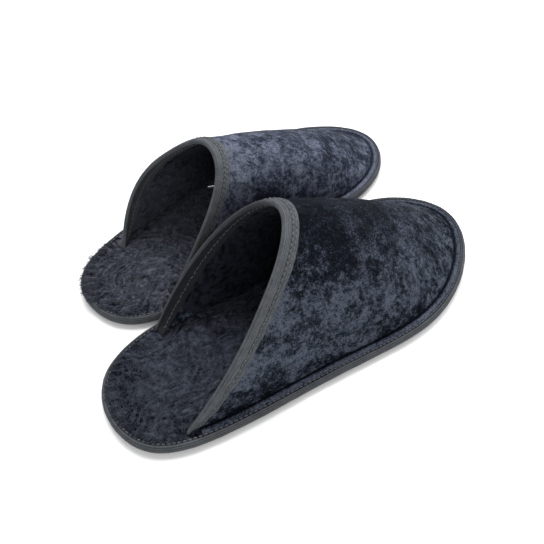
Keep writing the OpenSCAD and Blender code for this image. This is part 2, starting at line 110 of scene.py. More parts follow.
# seed: of all noise; then painted shade on the crown (negative: painted light), painted shade
# on the big-toe-side wing and painted light on the wings; lining_grain: contrast of the lining;
# wear: flattening of the foot bed; last, painted shade on the foot bed towards the toe
# (negative: painted light)
LOOK = {
    "right": SimpleNamespace(seed=11, crown_shade=2.3, far_shade=0.13, wing_painted_light=0.36,
                             lining_grain=0.9, wear=0.75, toe_shade=0.14),
    "left": SimpleNamespace(seed=57, crown_shade=-0.40, far_shade=0.0, wing_painted_light=0.12,
                            lining_grain=0.45, wear=0.35, toe_shade=-0.26),
}


# ---------------------------------------------------------------- small maths
def unit(v):
    return v / np.maximum(np.linalg.norm(v, axis=-1, keepdims=True), 1e-9)


def clamp(v):
    return np.clip(v, 0, 1)


def smooth(start, end, v):
    """Smooth step from 0 at start to 1 at end; start may be the larger."""
    t = clamp((v - start) / (end - start))
    return t * t * (3 - 2 * t)


def bell(v, centre, width):
    return np.exp(-((v - centre) / width) ** 2)


def wave(v, pitch):
    return np.cos(2 * np.pi * v / pitch)


def coords(x, y, z=0.0):
    return np.stack(np.broadcast_arrays(x, y, z), -1)


def with_z(flat, z=0.0):
    return coords(flat[..., 0], flat[..., 1], z)


def turned(p, angle):
    """x and y of p in axes turned by angle about z."""
    cos, sin = np.cos(angle), np.sin(angle)
    return p[..., 0] * cos + p[..., 1] * sin, p[..., 1] * cos - p[..., 0] * sin


def running_length(p):
    return np.r_[0, np.cumsum(np.linalg.norm(np.diff(p, axis=0), axis=1))]


def grid_normals(grid):
    return unit(-np.cross(np.gradient(grid, axis=1), np.gradient(grid, axis=0)))


# ---------------------------------------------------------------- seeded noise
def hashed(cell, seed):
    """Random value from 0 to 1 for each integer cell."""
    h = ((cell[..., 0] * 73856093) ^ (cell[..., 1] * 19349663) ^ (cell[..., 2] * 83492791)
         ^ (seed * 2654435761))
    h &= 0xFFFFFFFF
    for _ in range(2):
        h = ((h ^ (h >> 16)) * 0x45D9F3B) & 0xFFFFFFFF
    return ((h ^ (h >> 16)) & 0xFFFFFFFF) / 4294967295.0


def value_noise(p, seed):
    """Smooth noise from -1 to 1 with a feature size of one."""
    cell = np.floor(p).astype(np.int64)
    f = p - cell
    blend = f * f * f * (f * (f * 6 - 15) + 10)
    total = 0
    for corner in np.ndindex(2, 2, 2):
        weight = np.prod(np.where(corner, blend, 1 - blend), axis=-1)
        total = total + weight * hashed(cell + corner, seed)
    return total * 2 - 1


def fbm(p, octaves, seed, gain=0.5):
    """Sum of octaves of noise, each finer one weaker by gain."""
    total, weight, weights = 0, 1.0, 0
    for octave in range(octaves):
        total = total + weight * value_noise(p * 2.03 ** octave + 17.3 * octave, seed + octave)
        weights += weight
        weight *= gain
    return total / weights


def cells(p, seed):
    """Distances to the nearest and second nearest jittered cell point."""
    home = np.floor(p).astype(np.int64)
    near = np.full(p.shape[:-1], 9.0)
    second = near.copy()
    for step in np.ndindex(3, 3, 3):
        cell = home + step - 1
        jitter = np.stack([hashed(cell, seed + 31 * axis) for axis in range(3)], -1)
        distance = np.linalg.norm(p - (cell + jitter), axis=-1)
        second = np.minimum(second, np.maximum(near, distance))
        near = np.minimum(near, distance)
    return near, second


# ---------------------------------------------------------------- sole outline
def outline_point(u):
    """Uniform cubic B-spline; u counts control points."""
    u = np.asarray(u, float)
    first = np.floor(u).astype(int)
    t = (u - first)[..., None]
    before, start, end, after = (
        OUTLINE_CONTROL[(first + k) % len(OUTLINE_CONTROL)] for k in (-1, 0, 1, 2))
    return ((1 - t) ** 3 * before + (3 * t ** 3 - 6 * t ** 2 + 4) * start
            + (-3 * t ** 3 + 3 * t ** 2 + 3 * t + 1) * end + t ** 3 * after) / 6


def outline_normal(u):
    along = unit(outline_point(u + 0.01) - outline_point(u - 0.01))
    return np.stack([-along[..., 1], along[..., 0]], -1)


OUTLINE_U = np.arange(OUTLINE_STEPS + 1) * len(OUTLINE_CONTROL) / OUTLINE_STEPS
OUTLINE = outline_point(OUTLINE_U)
OUTLINE_RUN = running_length(OUTLINE)
LOOP = OUTLINE_RUN[-1]


def at_length(length):
    """Outline point and outward normal at a length from the heel by the big-toe side."""
    u = np.interp(np.mod(length, LOOP), OUTLINE_RUN, OUTLINE_U)
    return outline_point(u), outline_normal(u)


def whole_pitch(pitch):
    """The pitch nearest to this one that fits round the outline a whole number of times."""
    return LOOP / round(LOOP / pitch)


# ---------------------------------------------------------------- collar line and ribs
def wing(points, tip_x, throat):
    return [[tip_x + share_x * (throat[0] - tip_x), y, TIP_Z + share_z * (throat[2] - TIP_Z)]
            for share_x, y, share_z in points]


COLLARS = {
    side: np.array(wing(design["in_wing"], design["in_tip_x"], design["throat"])
                   + [design["throat"]]
                   + wing(design["out_wing"], design["out_tip_x"], design["throat"]), float)
    for side, design in COLLAR_DESIGN.items()}


def collar_line(points, s):
    """Clamped cubic B-spline over nine control points."""
    knots = np.array([0, 0, 0, 0, 1, 2, 3, 4, 5, 6, 6, 6, 6], float) / 6
    s = np.clip(s, 0, 1 - 1e-9)
    basis = [((s >= low) & (s < high)).astype(float) for low, high in zip(knots, knots[1:])]
    for degree in (1, 2, 3):
        raised = []
        for i in range(len(knots) - 1 - degree):
            rise = knots[i + degree] - knots[i]
            fall = knots[i + degree + 1] - knots[i + 1]
            raised.append(
                ((s - knots[i]) / rise * basis[i] if rise > 0 else 0)
                + ((knots[i + degree + 1] - s) / fall * basis[i + 1] if fall > 0 else 0))
        basis = raised
    return sum(weight[:, None] * point for weight, point in zip(basis, points))


class Ribs:
    """Curves from the sole up to the collar, one at each s."""

    def __init__(self, side, s):
        self.s = np.asarray(s, float)
        points = COLLARS[side]
        half = OUTLINE_STEPS // 2
        gap_in = np.linalg.norm(OUTLINE[:half] - points[0, :2], axis=1)
        gap_out = np.linalg.norm(OUTLINE[half:-1] - points[-1, :2], axis=1)
        first = OUTLINE_RUN[np.argmin(gap_in)]
        last = OUTLINE_RUN[half + np.argmin(gap_out)]
        edge, normal = at_length(first + (last - first) * self.s)
        self.foot = with_z(edge - FOOT_INSET * normal, FLANGE_Z)
        self.outward = with_z(normal)
        self.collar = collar_line(points, self.s)
        chord = self.collar - self.foot
        length = np.linalg.norm(chord, axis=1)[:, None]
        self.length = length[:, 0]
        toe = bell(self.s, 0.49, 0.18)[:, None]
        lean = SIDE_LEAN + (-TOE_LEAN - SIDE_LEAN) * toe
        swell = SIDE_SWELL + (TOE_SWELL - SIDE_SWELL) * toe
        self.foot_pull = swell * length * (
            np.sin(lean) * self.outward + np.cos(lean) * np.array([0, 0, 1.0]))
        self.collar_pull = PULL * np.c_[chord[:, 0], chord[:, 1], RISE * chord[:, 2]]

    def surface(self, t):
        """Cubic Hermite curve along each rib."""
        t = t[..., None]
        return ((2 * t ** 3 - 3 * t ** 2 + 1) * self.foot
                + (t ** 3 - 2 * t ** 2 + t) * self.foot_pull
                + (-2 * t ** 3 + 3 * t ** 2) * self.collar
                + (t ** 3 - t ** 2) * self.collar_pull)

    def edge(self, below):
        """The t that lies this far below the collar on each rib."""
        speed = np.linalg.norm(self.collar_pull, axis=1)
        bend = np.maximum(1, np.linalg.norm(
            3 * (self.foot - self.collar) + self.foot_pull + 2 * self.collar_pull, axis=1))
        back = (np.sqrt(speed * speed + 4 * bend * below) - speed) / (2 * bend)
        return 1 - back / (1 + (back / 0.75) ** 4) ** 0.25

    def nip(self, t):
        """Share of the loose ply thickness left at t."""
        near, far = self.edge(1.0), self.edge(13.0)
        return NIP + (1 - NIP) * smooth(0, 1, (near - t) / np.maximum(near - far, 1e-6))


# ---------------------------------------------------------------- placing in the row frame
class Place:
    """Turns slipper-frame millimetres into row-frame metres."""

    def __init__(self, side):
        joint = JOINTS[side + "_sole_flex"]
        self.yaw = -math.atan2(joint["axis"][0], joint["axis"][1])
        self.mirror = -1.0 if side == "left" else 1.0
        low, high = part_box(side + "_edge_tape")
        centre = np.array([(low[0] + high[0]) / 2, (low[1] + high[1]) / 2]) * 1000
        flat = self.turn(with_z(OUTLINE))[:, :2]
        self.offset = np.r_[centre - (flat.min(0) + flat.max(0)) / 2, low[2] * 1000 - 0.25]
        pivot = np.array(joint["pos_m"])
        forward = np.array([math.cos(self.yaw), math.sin(self.yaw), 0])
        self.bend_start = pivot - forward * FLEX_BACK
        self.bend_end = pivot + forward * FLEX_FRONT

    def turn(self, p):
        x, y = p[..., 0], p[..., 1] * self.mirror
        cos, sin = math.cos(self.yaw), math.sin(self.yaw)
        return coords(x * cos - y * sin, x * sin + y * cos, p[..., 2])

    def __call__(self, p):
        return (self.turn(p) + self.offset) / 1000.0


PLACES = {side: Place(side) for side in ("left", "right")}
MATERIALS = {}


def bend(ob, side, *nodes):
    """Bakes the piece's placement into its mesh and hides the CAD nodes it replaces."""
    side + "_heel"
    side + "_forefoot"
    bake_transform(ob)
    if nodes:
        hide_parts(*[side + "_" + node for node in nodes])


# ---------------------------------------------------------------- mesh building
def quads(rows, columns, offset=0, flip=False, wrap=False):
    j = np.arange(rows - 1)[:, None]
    i = np.arange(columns if wrap else columns - 1)[None, :]
    after = (i + 1) % columns
    faces = np.stack([j * columns + i, j * columns + after,
                      (j + 1) * columns + after, (j + 1) * columns + i], -1)
    faces = faces.reshape(-1, 4) + offset
    return faces[:, ::-1] if flip else faces


def make(name, side, verts, polys, material, attrs=None):
    """One smooth object from slipper-frame vertices and arrays of polygon indices."""
    verts = PLACES[side](verts)
    groups = [p if p.ndim == 2 else p[None, :] for p in polys]
    # faces look outwards when the signed volume is positive
    volume = sum(
        float(np.einsum("ij,ij->", verts[g[:, 0]], np.cross(verts[g[:, k]], verts[g[:, k + 1]])))
        for g in groups for k in range(1, g.shape[1] - 1))
    if volume < 0:
        groups = [g[:, ::-1] for g in groups]
    loops = np.concatenate([g.ravel() for g in groups])
    totals = np.concatenate([np.full(len(g), g.shape[1]) for g in groups])
    starts = np.r_[0, np.cumsum(totals)[:-1]]
    mesh = bpy.data.meshes.new(name)
    mesh.vertices.add(len(verts))
    mesh.vertices.foreach_set("co", verts.astype(np.float32).ravel())
    mesh.loops.add(len(loops))
    mesh.loops.foreach_set("vertex_index", loops.astype(np.int32))
    mesh.polygons.add(len(totals))
    mesh.polygons.foreach_set("loop_start", starts.astype(np.int32))
    mesh.polygons.foreach_set("loop_total", totals.astype(np.int32))
    mesh.polygons.foreach_set("use_smooth", np.ones(len(totals), bool))
    mesh.update(calc_edges=True)
    mesh.validate()
    for key, values in (attrs or {}).items():
        layer = mesh.attributes.new(key, "FLOAT", "POINT")
        layer.data.foreach_set("value", np.asarray(values, np.float32).ravel())
    ob = bpy.data.objects.new(name, mesh)
    bpy.context.scene.collection.objects.link(ob)
    mesh.materials.append(MATERIALS[material])
    return ob


def sheet(name, side, outer, inner, material, attrs=None):
    """Closed shell between two grids of the same size."""
    rows, columns = outer.shape[:2]
    size = rows * columns
    low = np.arange(columns - 1)
    high = (rows - 1) * columns + low
    first = np.arange(rows - 1) * columns
    last = first + columns - 1
    rims = [np.stack(rim, -1) for rim in (
        (low, low + size, low + 1 + size, low + 1),
        (high, high + 1, high + 1 + size, high + size),
        (first, first + columns, first + columns + size, first + size),
        (last, last + size, last + columns + size, last + columns))]
    return make(name, side, np.concatenate([outer.reshape(-1, 3), inner.reshape(-1, 3)]),
                [quads(rows, columns), quads(rows, columns, size, True)] + rims, material,
                {key: np.r_[v.ravel(), v.ravel()] for key, v in (attrs or {}).items()})


def sweep(name, side, sections, material, closed=False, attrs=None):
    """Sections (station, corner, xyz) joined into a bar; corners always wrap."""
    stations, corners = sections.shape[:2]
    if closed:
        i = np.arange(stations)[:, None] * corners
        after = (np.arange(stations)[:, None] + 1) % stations * corners
        k = np.arange(corners)[None, :]
        turn = (k + 1) % corners
        polys = [np.stack([i + k, i + turn, after + turn, after + k], -1).reshape(-1, 4)]
    else:
        cap = np.arange(corners)
        polys = [quads(stations, corners, wrap=True), cap[::-1], cap + (stations - 1) * corners]
    return make(name, side, sections.reshape(-1, 3), polys, material, attrs)


def tubes(centre, across, over, radius, sides=6):
    """Vertices and faces of closed tubes: centre (tube, ring, xyz), two ring axes, radius."""
    count, rings = centre.shape[:2]
    across = np.broadcast_to(across, centre.shape)[:, :, None, :]
    over = np.broadcast_to(over, centre.shape)[:, :, None, :]
    radius = np.broadcast_to(radius, centre.shape[:2])[:, :, None, None]
    angle = (np.arange(sides) * 2 * np.pi / sides)[:, None]
    ring = np.cos(angle) * across + np.sin(angle) * over
    verts = (centre[:, :, None, :] + radius * ring).reshape(-1, 3)
    base = np.arange(count) * rings * sides
    start = base[:, None, None] + np.arange(rings - 1)[None, :, None] * sides
    k = np.arange(sides)[None, None, :]
    turn = (k + 1) % sides
    walls = np.stack(np.broadcast_arrays(
        start + k, start + turn, start + sides + turn, start + sides + k), -1).reshape(-1, 4)
    caps = [base[:, None] + np.arange(sides)[None, ::-1],
            base[:, None] + (rings - 1) * sides + np.arange(sides)[None, :]]
    return verts, [walls] + caps


def ring_axes(centre):
    along = unit(np.gradient(centre, axis=1))
    across = unit(np.cross(along, np.array([0, 0, 1.0])))
    return across, np.cross(along, across)


# ---------------------------------------------------------------- soft shape of the uppers
SETTLED = {}
CLOTH = dict(
    vertex_group_mass="pin", quality=6, mass=0.25,
    tension_stiffness=18, compression_stiffness=9, shear_stiffness=6, bending_stiffness=0.35,
    tension_damping=8, compression_damping=8, shear_damping=8, bending_damping=1.0,
    air_damping=3,
    shrink_min=-0.035,             # the cloth is slightly full
    use_pressure=True, uniform_pressure_force=0.25)
CLOTH_SCALE = 0.01                 # one unit is 100 mm: cloth settles best near one unit
MAX_SETTLE = 2.2                   # mm


def drape(side):
    """Cloth simulation held at the sole and collar: s and t stations and the movement there."""
    s, t = np.linspace(0, 1, 81), np.linspace(0, 1, 37)
    columns, rows = len(s), len(t)
    grid = Ribs(side, s).surface(np.repeat(t[:, None], columns, 1))
    mesh = bpy.data.meshes.new("drape")
    mesh.from_pydata((grid.reshape(-1, 3) * CLOTH_SCALE).tolist(), [],
                     quads(rows, columns).tolist())
    ob = bpy.data.objects.new("drape", mesh)
    scene = bpy.context.scene
    scene.collection.objects.link(ob)
    pin = np.zeros((rows, columns))
    pin[:2] = 1
    pin[-3:] = 1
    pin[:, :3] = 1
    pin[:, -3:] = 1
    group = ob.vertex_groups.new(name="pin")
    group.add(np.nonzero(pin.ravel())[0].tolist(), 1.0, "REPLACE")
    cloth = ob.modifiers.new("cloth", "CLOTH")
    for key, value in CLOTH.items():
        setattr(cloth.settings, key, value)
    cloth.settings.effector_weights.gravity = 0.25
    cloth.collision_settings.use_collision = False
    cloth.point_cache.frame_start = 1
    cloth.point_cache.frame_end = 22
    for number in range(1, 21):
        scene.frame_set(number)
    result = ob.evaluated_get(bpy.context.evaluated_depsgraph_get())
    final = np.empty(len(result.data.vertices) * 3, np.float32)
    result.data.vertices.foreach_get("co", final)
    move = final.reshape(rows, columns, 3) / CLOTH_SCALE - grid
    scene.frame_set(1)
    bpy.data.objects.remove(ob, do_unlink=True)
    # eased so that no point moves more than MAX_SETTLE, and faded out at the borders
    move *= MAX_SETTLE / (np.linalg.norm(move, axis=-1, keepdims=True) + 3.0)
    fade_t = np.minimum(1, np.minimum(t / 0.12, (1 - t) / 0.12))[:, None, None]
    fade_s = np.minimum(1, np.minimum(s / 0.08, (1 - s) / 0.08))[None, :, None]
    return s, t, move * (fade_t * fade_s)


def settled(side, s, t):
    """The simulated movement at arrays of s and t, by half-eased bilinear look-up."""
    if side not in SETTLED:
        SETTLED[side] = drape(side)
    grid_s, grid_t, move = SETTLED[side]

    def locate(share, stations):
        place = clamp(share) * (len(stations) - 1)
        index = np.minimum(place.astype(int), len(stations) - 2)
        f = (place - index)[..., None]
        return index, f * f * (3 - 2 * f) * 0.5 + f * 0.5

    i, mix_s = locate(s, grid_s)
    j, mix_t = locate(t, grid_t)
    low = move[j, i] * (1 - mix_s) + move[j, i + 1] * mix_s
    high = move[j + 1, i] * (1 - mix_s) + move[j + 1, i + 1] * mix_s
    return low * (1 - mix_t) + high * mix_t


class Upper(Ribs):
    """The reference sheet of the upper, soft movement included; normals look outwards."""

    ROWS = 65

    def __init__(self, side, s):
        super().__init__(side, s)
        self.side = side
        rows = np.linspace(0, 1, self.ROWS)[:, None]
        self.grid = self.at(np.repeat(rows, len(s), 1))
        self.normals = grid_normals(self.grid)

    def at(self, t):
        return self.surface(t) + settled(self.side, np.broadcast_to(self.s, t.shape), t)

    def normal(self, t):
        place = clamp(t) * (self.ROWS - 1)
        j = np.minimum(place.astype(int), self.ROWS - 2)
        f = (place - j)[..., None]
        i = np.broadcast_to(np.arange(len(self.s)), t.shape)
        return unit(self.normals[j, i] * (1 - f) + self.normals[j + 1, i] * f)


# ---------------------------------------------------------------- velvet upper
# the small welt between the stitched groove and the crease; columns: inset from the sole edge,
# height over the flange, painted light and shade (light on the top of the welt, shade in the
# groove and the crease), share of the crushed pattern kept
WELT = np.array([
    [1.70, -0.15, 0.05, 0.10], [2.50, -0.25, 0.05, 0.10], [3.00, -0.22, 0.14, 0.15],
    [3.60, 0.28, 0.72, 0.25], [4.40, 0.72, 0.96, 0.30], [5.30, 0.85, 0.98, 0.30],
    [6.20, 0.62, 0.84, 0.25], [6.90, 0.12, 0.24, 0.20], [7.55, -0.38, 0.04, 0.10]])


def crushed_pile(p, seed):
    """Crushed-pile pattern from 0 (pile lying away, dark) to 1 (pile facing, light)."""
    warp = np.stack([fbm(p / 12.0, 3, seed + 50 + axis) for axis in range(3)], -1) * 5.0
    bent = p + warp
    broad = fbm(bent / 34.0, 2, seed + 9)
    middle = fbm(bent / 10.0, 4, seed, gain=0.66)
    grain = fbm(p / 2.4, 3, seed + 4, gain=0.8)
    # small dark craters clustered where the broad pattern is dark
    crater = cells((p + 0.5 * warp) / 3.1, seed + 13)[0]
    pits = bell(crater, 0, 0.34) * smooth(0.25, -0.20, middle + 0.6 * broad)
    # short brushed strokes in two directions, one or the other by area
    strokes = []
    for k, angle in enumerate((0.35, 1.75)):
        x, y = turned(bent, angle)
        stretched = coords(x / 9.0, y / 2.2, bent[..., 2] / 3.0)
        strokes.append(fbm(stretched, 3, seed + 31 + k, gain=0.6))
    pick = smooth(-0.15, 0.15, fbm(p / 24.0, 2, seed + 41))
    stroke = strokes[0] * pick + strokes[1] * (1 - pick)
    # dark bruises with soft edges, a few millimetres wide
    bruise = bell(cells((p + 1.2 * warp) / 12.0, seed + 17)[0] + 0.10 * grain, 0, 0.26)
    total = (0.42 * broad + 0.66 * middle + 0.50 * stroke + 0.62 * grain
             - 0.30 * pits - 0.46 * bruise)
    return clamp(0.525 + total * 0.88)


def velvet_upper(side):
    look, seed = LOOK[side], LOOK[side].seed
    s_start, s_end, rows = 0.012, 0.988, 112
    s = np.linspace(s_start, s_end, 400)
    upper = Upper(side, s)
    share = np.linspace(0, 1, rows) ** 1.15
    t = share[:, None] * upper.edge(0.9)
    body = upper.at(t)
    body[0, :, 2] -= 0.35
    along = running_length(upper.foot)
    inset, rise, welt_painted_light, welt_keep = WELT.T
    welt = upper.foot + (FOOT_INSET - inset)[:, None, None] * upper.outward
    pucker = 0.20 * wave(along, STITCH_PITCH) * bell(inset[:, None], 3.7, 1.0)
    welt[..., 2] += rise[:, None] + pucker + 0.22 * fbm(welt / 3.2, 2, seed + 5)
    outer = np.concatenate([welt, body])
    normals = grid_normals(outer)

    def per_row(on_welt, on_body):
        return np.r_[np.broadcast_to(on_welt, len(WELT)), on_body][:, None]

    # painted shade darkens the right slipper's crown and its big-toe-side wing; painted light
    # lightens the left slipper's crown and the wings
    pile = crushed_pile(outer, seed)
    height = per_row(0.0, share)
    crown = bell(s, 0.5, 0.16)
    sideways = np.abs(s - 0.5) * 2
    wings = smooth(0.58, 0.84, s) if side == "right" else sideways ** 2
    shade = smooth(0.52, 0.34, s) * smooth(0.10, 0.45, height) * look.far_shade
    crown_shading = look.crown_shade * (0.26 * smooth(0.55, 1.0, height) * crown
                       + 0.20 * crown * smooth(0.1, 0.6, height))
    crown_shading = np.where(crown_shading > 0, 0.05 * crown_shading + pile * np.minimum(0.62, crown_shading), crown_shading)
    pile = clamp(pile - crown_shading - shade + look.wing_painted_light * wings * smooth(0.10, 0.45, height))
    # the welt takes its listed painted light and shade, and the lowest rows of the body fade to
    # dark as painted shade in the crease
    keep = per_row(welt_keep, smooth(0.0, 7.0, np.arange(rows) + 0.4))
    pile = clamp(per_row(welt_painted_light, np.zeros(rows)) * (1 - keep) + pile * keep)

    # longer creases along the foot of the wings and across the vamp
    along = np.broadcast_to(along, outer.shape[:2])
    up = height * upper.length
    crease = fbm(coords(along / 34.0, up / 5.5), 3, seed + 77, gain=0.55)
    cramp = np.exp(-(up / 26.0)) * sideways ** 1.2
    swell = fbm(outer / 26.0, 3, seed + 21)
    relief = (0.30 * (pile - 0.5) + 0.16 * fbm(outer / 1.9, 2, seed + 3)
              + 0.9 * crease * cramp + 0.55 * swell * np.minimum(1, up / 25.0))
    # the relief fades out at the welt, the tips and the collar
    tips = np.minimum(1, np.minimum(s - s_start, s_end - s) / 0.03)
    relief *= per_row(0.0, np.minimum(1, np.arange(rows) / 8.0)) * tips
    relief *= per_row(1.0, clamp((rows - 1 - np.arange(rows)) / 10.0))
    # painted light on raised folds and painted shade in the bottoms of creases
    pile = clamp(pile + 0.35 * crease * cramp * tips)
    thick = VELVET_T * np.concatenate([np.ones(welt.shape[:2]), upper.nip(t)])
    ob = sheet(side + "_velvet", side, outer + normals * relief[..., None],
               outer - normals * thick[..., None], "velvet_" + side,
               {"crush_and_shading": pile, "along": along, "up": up})
    bend(ob, side, "velvet_upper")


# ---------------------------------------------------------------- foam and fleece behind it
def backing_grid(side, stations, rows, foot_gap):
    """Upper, t and points of a ply that stops foot_gap above the sole."""
    upper = Upper(side, np.linspace(0.045, 0.955, stations))
    low = np.minimum(0.45, foot_gap / upper.length)
    t = low + (upper.edge(1.2) - low) * np.linspace(0, 1, rows)[:, None]
    return upper, t, upper.at(t)


def backing_faces(upper, t, points, depth, thickness, relief):
    """The outer face stays put; the relief shows on the inner face."""
    normals = upper.normal(t)
    nip = upper.nip(t)[..., None]
    inner_depth = (depth + thickness) * nip + np.maximum(relief, -0.3)[..., None]
    return points - normals * depth * nip, points - normals * inner_depth


def foam_interlining(side):
    upper, t, points = backing_grid(side, stations=150, rows=40, foot_gap=9.0)
    relief = 0.05 * value_noise(points / 1.5, LOOK[side].seed + 94)
    outer, inner = backing_faces(upper, t, points, VELVET_T + PLY_GAP, FOAM_T, relief)
    ob = sheet(side + "_foam_interlining", side, outer, inner, "foam")
    bend(ob, side, "interlining_fore", "interlining_heel")


def lining_fleece(side):
    rows, seed = 90, LOOK[side].seed
    upper, t, points = backing_grid(side, stations=300, rows=rows, foot_gap=5.0)
    relief = 0.30 * fbm(points / 2.6, 3, seed + 91, gain=0.6)
    relief += 0.12 * value_noise(points / 0.9, seed + 92)
    row = np.arange(rows)
    relief *= clamp(np.minimum(row, rows - 1 - row) / 5.0)[:, None]
    # on the left slipper's lining: painted light high on the outer wing, painted shade high on
    # the rest
    facing = 0.62 * smooth(0.66, 0.88, upper.s) - 0.50 if side == "left" else 0.0
    grain = LOOK[side].lining_grain * fbm(points / 2.4, 3, seed + 93)
    pile = clamp(0.5 + facing * smooth(0.1, 0.5, t) + grain)
    depth = VELVET_T + FOAM_T + 2 * PLY_GAP
    outer, inner = backing_faces(upper, t, points, depth, LINING_T, relief)
    ob = sheet(side + "_lining_fleece", side, outer, inner, "lining_" + side,
               {"pile": pile})
    bend(ob, side, "fleece_lining")


# ---------------------------------------------------------------- collar tape
class CollarPath:
    """Places points by distance below the collar edge and height over the upper."""

    STATIONS = 520

    def __init__(self, side):
        self.side = side
        count = self.STATIONS
        self.s = np.linspace(0.0, 1.0, count)
        self.upper = Upper(side, self.s)
        grid = self.upper.grid
        self.along = unit(np.gradient(grid[-1], axis=0))
        # normals are unsteady at the tips, so take them from just inside
        margin = int(0.035 * count)
        self.steady = np.clip(np.arange(count), margin, count - 1 - margin)
        normals = self.upper.normals[-1][self.steady]
        self.normals = unit(
            normals - (normals * self.along).sum(-1, keepdims=True) * self.along)
        beyond = np.cross(self.along, self.normals)
        sign = np.sign((beyond * (grid[-1] - grid[-3])).sum(-1))
        sign = np.where(np.abs(self.s - 0.5) < 0.49, sign, sign[count // 2])
        self.beyond = unit(beyond * sign[:, None])
        self.taper = 0.85 + 0.15 * np.minimum(1, np.minimum(self.s, 1 - self.s) / 0.04)
        self.run = running_length(self.upper.collar)

    def face(self, below):
        """Points, normals and t on the sheet below the edge."""
        t = self.upper.edge(below * self.taper)[None, :]
        return self.upper.at(t)[0], self.upper.normal(t)[0][self.steady], t[0]

    def at(self, below, height):
        height = np.broadcast_to(height, self.s.shape)
        if below > 0:
            points, normals, t = self.face(below)
            # inner-face heights are given for nipped plies and follow their swelling
            swell = STACK * (self.upper.nip(t) - NIP)
            height = np.where(height < -0.5, height - swell, height)
        else:
            points = self.upper.collar - (below * self.taper)[:, None] * self.beyond
            normals = self.normals
        return points + height[:, None] * normals


def collar_profile():
    """Distance below the edge, height, shader tag and relief shares round the folded tape."""
    out = np.linspace(TAPE_WIDTH, 0.15, 46)
    out_height = (TAPE_TOP + 0.085 * wave(out, COLLAR_RIB)
                  - 0.38 * bell(out, ROW_HIGH, 0.60) - 0.16 * bell(out, ROW_LOW, 0.4)
                  - 0.14 * bell(out, 2.9, 0.4)
                  + 0.16 * np.sin(np.pi * clamp((out - 0.2) / 4.0))
                  - 0.25 * smooth(8.0, 8.6, out))
    angle = np.linspace(0, math.pi, 17)[1:-1]
    fold = -0.15 - 1.15 * np.sin(angle) - 0.05 * np.cos(9 * angle)
    fold_radius = (NIPPED + 2 * TAPE_GAP) / 2 + TAPE_T
    fold_height = -NIPPED / 2 + fold_radius * np.cos(angle)
    back = np.linspace(0.15, TAPE_WIDTH, 30)
    back_height = (-NIPPED - TAPE_TOP - 0.06 * wave(back, COLLAR_RIB)
                   + 0.25 * bell(back, ROW_HIGH, 0.62) + 0.2 * smooth(8.0, 8.6, back))
    hidden = np.array([TAPE_WIDTH, TAPE_WIDTH * 0.5, 0.2])
    below = np.r_[out, fold, back, hidden, hidden[::-1]]
    height = np.r_[out_height, fold_height, back_height,
                   np.full(3, -NIPPED - TAPE_GAP), np.full(3, TAPE_GAP)]
    # tags: positive outside, about -0.2 to -0.8 round the fold, below -1 inside
    tag = np.r_[out, -0.2 - 0.2 * angle, -1 - back, -1 - hidden, hidden[::-1]]
    index = np.arange(len(below))
    seen = index < len(out) + len(fold) + len(back)
    relief = seen * np.where(height >= -NIPPED / 2, 1, -1)
    return below, height, tag, relief, index < len(out)


def collar_tape(path):
    side = path.side
    below, height, tag, relief, outside = collar_profile()
    run = path.run[:, None]
    lumps = 0.10 * fbm(coords(run / 9.0, below / 5.0), 2, LOOK[side].seed + 31)
    pucker = -0.10 * wave(run, STITCH_PITCH) * outside * (
        bell(below, ROW_LOW, 0.6) + bell(below, 2.9, 0.6))
    heights = height + relief * (0.035 * wave(run, WEFT) + lumps + pucker)
    sections = np.stack([path.at(w, h) for w, h in zip(below, heights.T)], 1)
    # run both ends on a little, down under the sole binding
    near_tip = int(0.01 * path.STATIONS)
    down = np.array([0, 0, -0.25])
    first_way = unit(-path.along[near_tip] + down)
    last_way = unit(path.along[-1 - near_tip] + down)
    run_on = (0.5, 1.0, 1.6)
    head = [sections[0] + first_way * reach for reach in run_on[::-1]]
    tail = [sections[-1] + last_way * reach for reach in run_on]
    sections = np.concatenate([head, sections, tail])
    # shade: painted shade on the right tape's big-toe-side wing (1), painted light inside the
    # left tape's outer wing (-1)
    shade = (smooth(0.50, 0.38, path.s) if side == "right"
             else -smooth(0.55, 0.72, path.s))

    def per_station(values):
        padded = np.pad(values, len(run_on), mode="edge")[:, None]
        return np.broadcast_to(padded, sections.shape[:2])

    ob = sweep(side + "_collar_tape_folded", side, sections, "grosgrain", attrs={
        "along": per_station(path.run),
        "across": np.broadcast_to(tag, sections.shape[:2]),
        "shade": per_station(shade)})
    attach(ob, side + "_heel")
    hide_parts(side + "_collar_tape")


def collar_stitches(path):
    """Two rows on the outer face, one on the inner face."""
    side = path.side
    # distance below the edge, height, way the stitch stands out, shift along the collar
    rows = ((ROW_LOW, TAPE_TOP - 0.02, 1, 0.0),
            (ROW_HIGH, TAPE_TOP - 0.12, 1, 1.5),
            (ROW_HIGH, -NIPPED - TAPE_TOP + 0.1, -1, 0.7))
    k = np.linspace(-1, 1, 7)
    verts, polys, count = [], [], 0
    for below, height, way, shift in rows:
        middles = np.arange(4.0 + shift, path.run[-1] - 4.0, STITCH_PITCH)
        s = np.interp(middles[:, None] + 1.12 * k, path.run, path.s)

        def sample(values):
            return np.stack([np.interp(s, path.s, values[:, axis]) for axis in range(3)], -1)

        centre = sample(path.at(below, height))
        normal = unit(sample(path.face(below)[1]))
        across = np.cross(unit(np.gradient(centre, axis=1)), normal)
        rise = (0.16 - 0.42 * np.abs(k) ** 4) * way
        zigzag = 0.22 * k * np.where(np.arange(len(middles)) % 2, 1, -1)[:, None]
        centre = centre + normal * rise[:, None] + across * zigzag[..., None]
        part, faces = tubes(centre, normal, across, 0.30 * (1 - 0.25 * np.abs(k) ** 3))
        verts.append(part)
        polys += [group + count for group in faces]
        count += len(part)
    ob = make(side + "_collar_stitches", side, np.concatenate(verts), polys,
              "collar_thread")
    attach(ob, side + "_heel")
    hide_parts(side + "_collar_thread")


